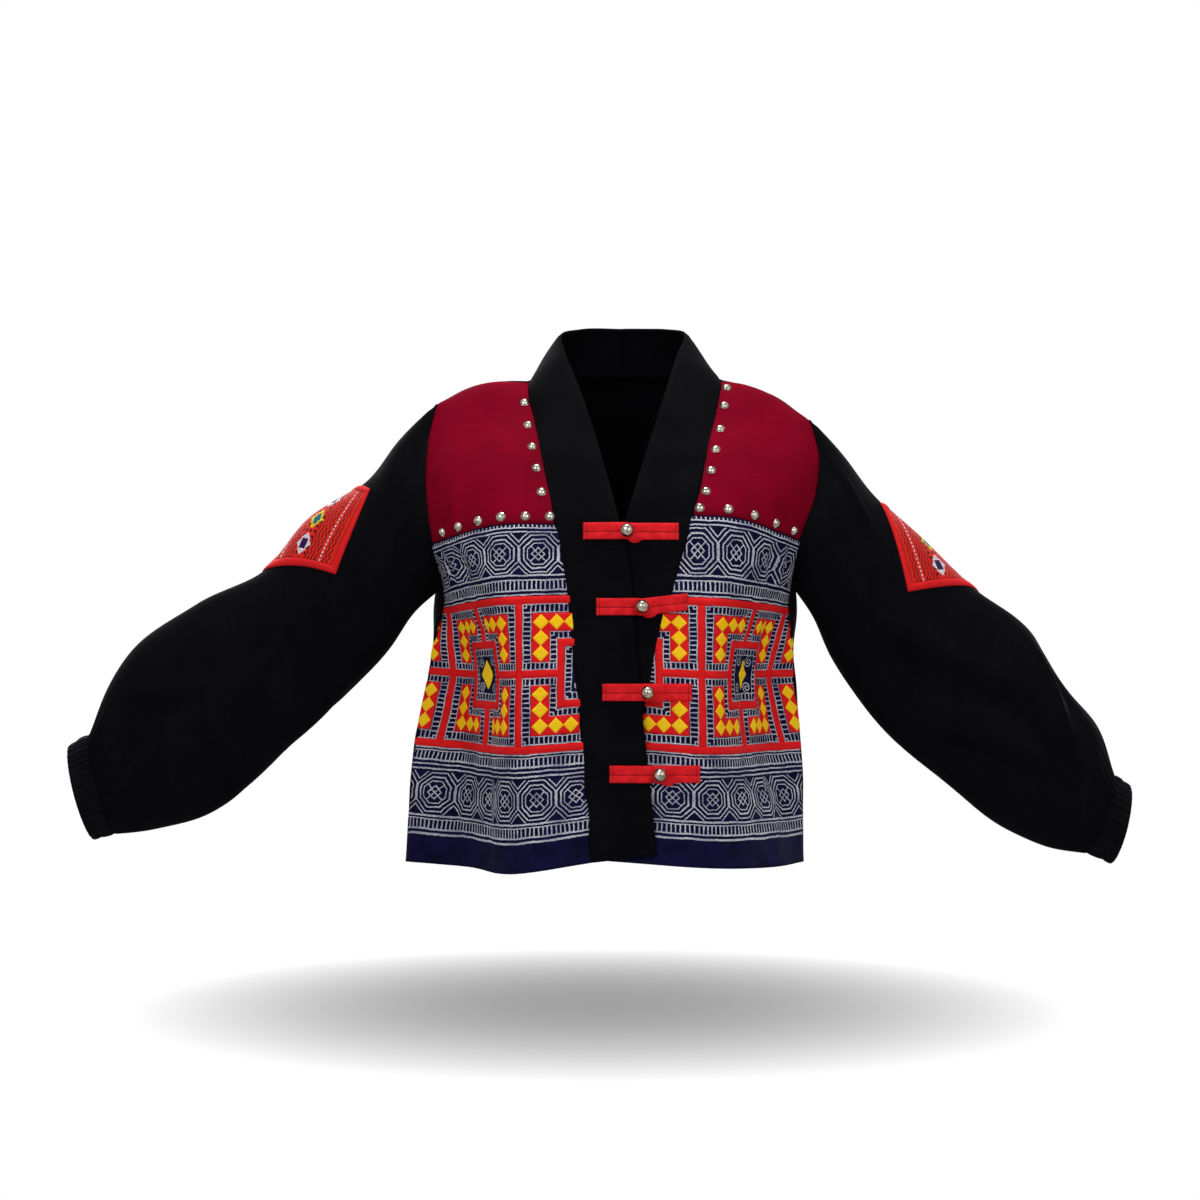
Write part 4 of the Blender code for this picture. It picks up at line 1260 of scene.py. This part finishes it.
def stitch_colour(i, j):
    """The thread of a stitch: rows of maroon zigzag, and a star between two diamonds."""
    near = min(j, STITCHES - 1 - j)
    if near - (i // 3) % 2 in ZIGZAG_ROWS:
        return "maroon"
    if near == DASHED_ROW:
        return "white" if i % 3 else "maroon"
    down = abs(j - (STITCHES - 1) / 2)
    star = abs(i - STAR)
    if star / 8.5 + down / 5.8 <= 1 or (star + down) < 7 and (star < 1 or down < 1):
        if star <= 4 and down <= 2.5 and star / 5 + down / 3.6 <= 1.05:
            return "teal"
        return "yellow"
    for middle in LOZENGES:
        aside = abs(i - middle)
        if aside <= 3.5 and down <= 2.9:
            return "purple"
        if aside / 8.5 + down / 6.8 <= 1:
            return "white"
    if down < 6 and i % 4 < 2 and j % 4 < 2:
        return "maroon"
    return "ground"


def to_sleeve(side):
    """From places on a square to places on the sleeve: round from its top, and down its length."""
    near, forward, behind, far = np.array(SQUARE_CORNERS[side], float)[:, None, ::-1]

    def turned(first, second):
        a, b = first[:, None] / SQUARE_SIDE, second[:, None] / SQUARE_SIDE
        places = (near * (1 - a) + forward * a) * (1 - b) + (behind * (1 - a) + far * a) * b
        return places.T
    return turned


def square_grid(bm, side, count, height):
    """Adds a flat square grid in the middle of where an embroidered square is laid."""
    place = Matrix.Translation((*SQUARE_MIDDLE, height)) @ Matrix.Diagonal((side, side, 1, 1))
    bmesh.ops.create_grid(bm, x_segments=count, y_segments=count, size=0.5, matrix=place)


def make_stitches(side):
    """The counted embroidery inside its binding, each stitch raised, with painted shade on the rim
    round it.
    """
    bm = bmesh.new()
    square_grid(bm, SQUARE_INNER, STITCHES, SQUARE_RISE)
    dyed = bm.loops.layers.float_color.new("thread")
    draw = np.random.default_rng(21 + len(side))
    shades = {name: np.array(colour(code)) for name, code in THREADS.items()}
    size = SQUARE_INNER / STITCHES
    for face in bm.faces:
        i, j, _ = (int((place - BINDING_WIDTH) / size) for place in face.calc_center_median())
        shade = shades[stitch_colour(i, j)] * draw.uniform(0.85, 1.12)
        for loop in face.loops:
            loop[dyed] = (*shade[:3], 1)
    shaded_rims = bmesh.ops.inset_individual(bm, faces=bm.faces[:], thickness=STITCH_RIM,
                                      depth=STITCH_RISE)["faces"]
    # painted shade: each stitch's rim gets half its colour, for the shade in the gaps between
    # stitches
    for loop in (loop for face in shaded_rims for loop in face.loops):
        loop[dyed] = (*[channel * 0.5 for channel in loop[dyed][:3]], 1)
    return bm


def make_binding():
    """The bias binding round a square, rounded across its width."""
    bm = bmesh.new()
    square_grid(bm, SQUARE_SIDE, SQUARE_SIDE, 0)
    cut_out(bm, bm.faces, SQUARE_MIDDLE, SQUARE_INNER / 2)
    for vert in bm.verts:
        from_middle = max(abs(vert.co[axis] - SQUARE_MIDDLE[axis]) for axis in (0, 1))
        share = min(1, max(0, (SQUARE_MIDDLE[0] - from_middle) / BINDING_WIDTH))
        vert.co.z = BINDING_EDGE + BINDING_RISE * math.sin(math.pi * share) ** 0.6
    return bm


def make_squares():
    """The embroidered square on each upper sleeve, and the binding round it."""
    for side in SIDES:
        for name, node, bm, finish, slot, wall, flat in (
            ("embroidered_square", "square", make_stitches(side), "thread", "embroidery", 0,
             (SQUARE_INNER * MM, SQUARE_INNER * MM)),
            ("red_binding", "square_binding", make_binding(), "binding", "red_cotton",
             BINDING_WALL, ((BINDING_WIDTH + 3) * MM, 4 * (SQUARE_SIDE - BINDING_WIDTH) * MM)),
        ):
            lay_on(bm, cloths["sleeve", side], to_sleeve(side))
            piece = make(f"{name}_{side}", bm, finishes[finish], wall, [f"{node}_{side}"])


# Frog closures

TAPE_WALL = 1.6
CORD_RADIUS = 1.25
CORD_TURN = (-118, 46)  # the loop's cord shows round the lower right of the ball, in degrees
STRAP_SAG = 3.2  # how far the slanted corner by the ball hangs below the strap
STRAP_GROOVE = 0.5


def front_samples():
    """Points all over the fronts and their bands, close enough together to rest things on."""
    sheets = [cloths[panel, side].points for panel in ("front", "yoke", "band") for side in SIDES]
    return np.concatenate([sheet.reshape(-1, 3) for sheet in sheets])


def in_front_of(samples, x, z, reach=STRAP_SPREAD):
    """How far forward the cloth comes near (x, z)."""
    near = (samples[:, 0] - x) ** 2 + (samples[:, 2] - z) ** 2 < reach ** 2
    return samples[near, 1].min()


def resting(samples, start, end, low, high):
    """A function that gives how far forward a strap lies at (x, z) over the cloth under it."""
    xs, zs = np.linspace(start, end, 7), np.linspace(low, high, 3)
    knots = np.array([[in_front_of(samples, x, z, 7) for x in xs] for z in zs])

    def read(x, z):
        rows = [spline(line, xs, np.clip(x[:, 0], start, end))[:, None] for line in knots]
        share = np.clip((z - low) / (high - low), 0, 1) * 2
        first = rows[0] + (rows[1] - rows[0]) * np.clip(share, 0, 1)
        return first + (rows[2] - rows[1]) * np.clip(share - 1, 0, 1)
    return read


def strap_cloth(samples, frog, start, end, lift, under, round_end):
    """A strap of folded tape: rounded edges, and a shallow groove where its folds meet."""
    half = STRAP_WIDTH / 2
    along = cells(0, end - start, 1.3)
    across = np.concatenate([[-1, -0.985, -0.93], np.linspace(-0.84, 0.84, 15), [0.93, 0.985, 1]])
    wide = np.full(along.shape, half)
    if round_end:
        past = np.clip((along - (along[-1] - half)) / half, 0, 1)
        wide = half * np.sqrt(np.clip(1 - past ** 2.4, 0.02, 1))
    x = np.repeat((start + along)[:, None], len(across), axis=1)
    up = wide[:, None] * across[None]
    if not round_end:
        # the end that holds the ball is cut slanted, and its lower corner shows below the other
        slant = STRAP_SAG * np.exp(-((along - 7) / 6) ** 4)[:, None]
        up = np.where(across < 0, up * (1 + slant / half), up)
    z = frog.z + up + (lift * along / along[-1])[:, None]
    read = resting(samples, start, end, frog.z - half, frog.z + half + lift)
    edge = np.sqrt(np.clip(1 - np.abs(across) ** 7, 0, 1))[None]
    ends = np.sqrt(np.clip(1 - np.abs(2 * along / along[-1] - 1) ** 40, 0.1, 1))[:, None]
    rise = (STRAP_WALL - 0.3) * edge * ends + under
    rise -= STRAP_GROOVE * trough(up + 0.6, 0.6)
    rise += 0.12 * np.sin(along / 3.1)[:, None] * np.cos(up / 2.3)
    y = read(x, z) - 0.7 - rise
    return Cloth(np.stack([x, y, z], axis=2), None, np.repeat(along[:, None], len(across), axis=1),
                 up, False, True)


def rope(path, radius, sides=12):
    """A round cord along a path, closed to a point at each end, as a cloth's grid."""
    ahead = np.gradient(path, axis=0)
    ahead /= np.linalg.norm(ahead, axis=1, keepdims=True)
    side = np.cross(ahead, (0, 1, 0.01))
    side /= np.linalg.norm(side, axis=1, keepdims=True)
    other = np.cross(side, ahead)
    turn = np.linspace(0, 2 * math.pi, sides + 1)
    steps = np.linspace(-1, 1, len(path))
    thick = radius * np.sqrt(np.clip(1 - np.abs(steps) ** 30, 0.01, 1))[:, None, None]
    points = path[:, None] + thick * (np.cos(turn)[None, :, None] * side[:, None]
                                      + np.sin(turn)[None, :, None] * other[:, None])
    down = np.append(0, np.linalg.norm(np.diff(path, axis=0), axis=1).cumsum())
    return Cloth(points, None, np.repeat((turn * radius)[None], len(path), axis=0),
                 np.repeat(down[:, None], sides + 1, axis=1), True, True)


def make_frogs():
    """Each frog: the loop's strap, the strap under it, the loop's cord and the ball button."""
    samples = front_samples()
    for number, frog in enumerate(FROGS, 1):
        for node, side, start, end, lift, under, round_end in (
            ("frog_loop", "left", frog.x + 1, frog.outer_left, frog.lift, 0.2, False),
            ("frog_strap", "right", frog.outer_right, frog.x + 8, 0, 1.0, True),
        ):
            cloth = strap_cloth(samples, frog, start, end, lift, under, round_end)
            if side == "left":
                cloth = cloth._replace(across=cloth.across[-1, 0] - cloth.across)
            piece = make(f"{node}_cloth_{number}", grid_of(cloth), finishes["tape"], TAPE_WALL,
                         [f"{node}_{number}"])
            declare(cloth.points)
        ahead = in_front_of(samples, frog.x - BUTTON_RADIUS, frog.z)
        ahead -= 2 * STRAP_CLEAR + STRAP_WALL + BUTTON_RADIUS
        centre = np.array((frog.x, ahead, frog.z))
        turn = np.radians(np.linspace(*CORD_TURN, 40))
        out = BUTTON_RADIUS + 1.1
        path = centre + np.stack([out * np.cos(turn), 2.2 + 0 * turn, out * np.sin(turn)], axis=1)
        make(f"frog_cord_{number}", grid_of(rope(path, CORD_RADIUS)), finishes["binding"])

        ball = bmesh.new()
        bmesh.ops.create_uvsphere(ball, u_segments=36, v_segments=24, radius=BUTTON_RADIUS,
                                  matrix=Matrix.Translation(centre))
        behind = Matrix.Translation(centre + (0, BUTTON_RADIUS + 0.6, 0))
        bmesh.ops.create_cone(ball, cap_ends=True, segments=20, radius1=2.6, radius2=2.0, depth=4,
                              matrix=behind @ Matrix.Rotation(math.pi / 2, 4, "X"))
        make(f"ball_button_{number}", ball, finishes["silver"],
             replaced=[f"button_{number}"])


# Studs

def stud_mesh():
    """A domed stud on its flat rim, its base at the origin."""
    one = bmesh.new()
    bmesh.ops.create_uvsphere(one, u_segments=28, v_segments=20, radius=STUD_RADIUS)
    bmesh.ops.bisect_plane(one, geom=one.verts[:] + one.edges[:] + one.faces[:],
                           plane_co=(0, 0, 0), plane_no=(0, 0, 1), dist=1e-5, clear_inner=True)
    bmesh.ops.scale(one, vec=(1, 1, STUD_HEIGHT / STUD_RADIUS), verts=one.verts)
    bmesh.ops.create_cone(one, cap_ends=True, segments=28, radius1=STUD_RADIUS + 0.5,
                          radius2=STUD_RADIUS + 0.25, depth=0.6)
    dome = bpy.data.meshes.new("stud")
    one.to_mesh(dome)
    one.free()
    return dome


def make_studs():
    """The studs down each band and along each yoke's lower edge, standing on the cloth."""
    dome = stud_mesh()
    for side in SIDES:
        row = front(side, [STUD_HEM], np.linspace(0, 1, 30))[0]
        width = np.linalg.norm(np.diff(row, axis=0), axis=1).sum()
        rows = STUDS[side]
        places = [(down, STUD_INSET) for down in rows.down]
        places += [(STUD_HEM, rows.inset + n * rows.pitch) for n in range(rows.along)]
        yoke = cloths["yoke", side].points.reshape(-1, 3)
        bm = bmesh.new()
        for down, inset in places:
            point, normal = facing(lambda d, a: front(side, d, a), down, inset / width)
            normal = -normal if normal[1] > 0 else normal
            nearest = yoke[np.linalg.norm(yoke - point, axis=1).argmin()]
            point = point + normal * (np.dot(nearest - point, normal) + 0.2)
            before = len(bm.verts)
            bm.from_mesh(dome)
            bm.verts.ensure_lookup_table()
            turn = Vector(normal).to_track_quat("Z", "Y").to_matrix().to_4x4()
            bmesh.ops.transform(bm, matrix=Matrix.Translation(point) @ turn,
                                verts=bm.verts[before:])
        make(f"silver_studs_{side}", bm, finishes["silver"],
             replaced=[f"stud_{side}_{n + 1:02d}" for n in range(len(places))])
    bpy.data.meshes.remove(dome)


make_back()
make_fronts()
make_bands()
make_sleeves()
make_squares()
make_applique()
make_frogs()
make_studs()


# Stage, in metres

FLOOR = -0.66
SHADOW_MIDDLE = (-0.024, 0.04, 0)
SHADOW_HALVES = (0.49, 0.35)
SHADOW_DARKEST = 0.36
MIDDLE = (0.0, 0.0, -0.24)
CAMERA_PLACE = (-0.02415, -1.9, -0.2835)
CAMERA_AIM = (-0.02415, 0, -0.231)
Lamp = namedtuple("Lamp", "name place aim size watts")
LAMPS = [
    Lamp("overhead_softbox", (0.0, -0.1, 1.3), (0, 0, -0.6), 0.5, 15),
    Lamp("front_key", (-0.8, -1.9, 0.8), MIDDLE, 1.2, 13),
    Lamp("front_fill", (1.2, -1.7, 0.4), MIDDLE, 1.4, 9),
    Lamp("back_left", (-1.3, 1.6, 0.9), MIDDLE, 1.2, 30),
    Lamp("back_right", (1.5, 1.2, 0.3), MIDDLE, 0.8, 12),
]


def set_up(name, data, place, aim=None):
    """Puts the floor, a lamp or the camera in its place, turned to face its aim."""
    thing = bpy.data.objects.new(name, data)
    thing.location = place
    if aim:
        thing.rotation_euler = (Vector(aim) - Vector(place)).to_track_quat("-Z", "Y").to_euler()
    bpy.context.scene.collection.objects.link(thing)
    return thing


def studio_paper():
    """White seamless paper, lit as brightly as what lies behind it. The eye sees no horizon, only
    the soft shadow that is drawn on it."""
    paper = bpy.data.materials.new("white_studio_paper")
    paper.use_nodes = True
    put = partial(add, paper.node_tree)
    off = put("VectorMath", (put("TexCoord").outputs["Object"], SHADOW_MIDDLE),
              operation="SUBTRACT")
    shares = put("VectorMath", (off, (1 / SHADOW_HALVES[0], 1 / SHADOW_HALVES[1], 0)),
                 operation="MULTIPLY")
    away = put("VectorMath", (shares,), operation="LENGTH").outputs["Value"]
    fade = put("Math", (away, 2.2), operation="POWER")
    shade = put("MapRange", {"Value": fade, "To Min": SHADOW_DARKEST, "To Max": 1.0})
    shown = put("MixShader", (put("LightPath").outputs["Is Camera Ray"], put("BsdfTransparent"),
                              put("Emission", {"Color": shade})))
    feed(paper.node_tree.nodes["Material Output"], Surface=shown)
    return paper


def light_the_world():
    """A white world: full strength behind the jacket, and less of it as light on the cloth."""
    world = bpy.data.worlds.new("white_studio")
    world.use_nodes = True
    bpy.context.scene.world = world
    background = world.node_tree.nodes["Background"]
    background.inputs["Color"].default_value = (1, 1, 1, 1)
    put = partial(add, world.node_tree)
    seen = put("LightPath").outputs["Is Camera Ray"]
    strength = put("MapRange", {"Value": seen, "To Min": 0.42, "To Max": 1.0})
    feed(background, Strength=strength)


floor_mesh = bpy.data.meshes.new("white_floor")
sheet = bmesh.new()
bmesh.ops.create_grid(sheet, x_segments=1, y_segments=1, size=3)
sheet.to_mesh(floor_mesh)
sheet.free()
floor_mesh.materials.append(studio_paper())
floor = set_up("white_floor", floor_mesh, (0, 0, FLOOR))

for name, place, aim, size, watts in LAMPS:
    bulb = bpy.data.lights.new(name, "AREA")
    bulb.size, bulb.energy = size, watts
    set_up(name, bulb, place, aim)
light_the_world()

lens = bpy.data.cameras.new("camera")
lens.lens, lens.sensor_width = 54.29, 36
camera = set_up("camera", lens, CAMERA_PLACE, CAMERA_AIM)
bpy.context.scene.camera = camera
bpy.context.scene.view_settings.view_transform = "Standard"
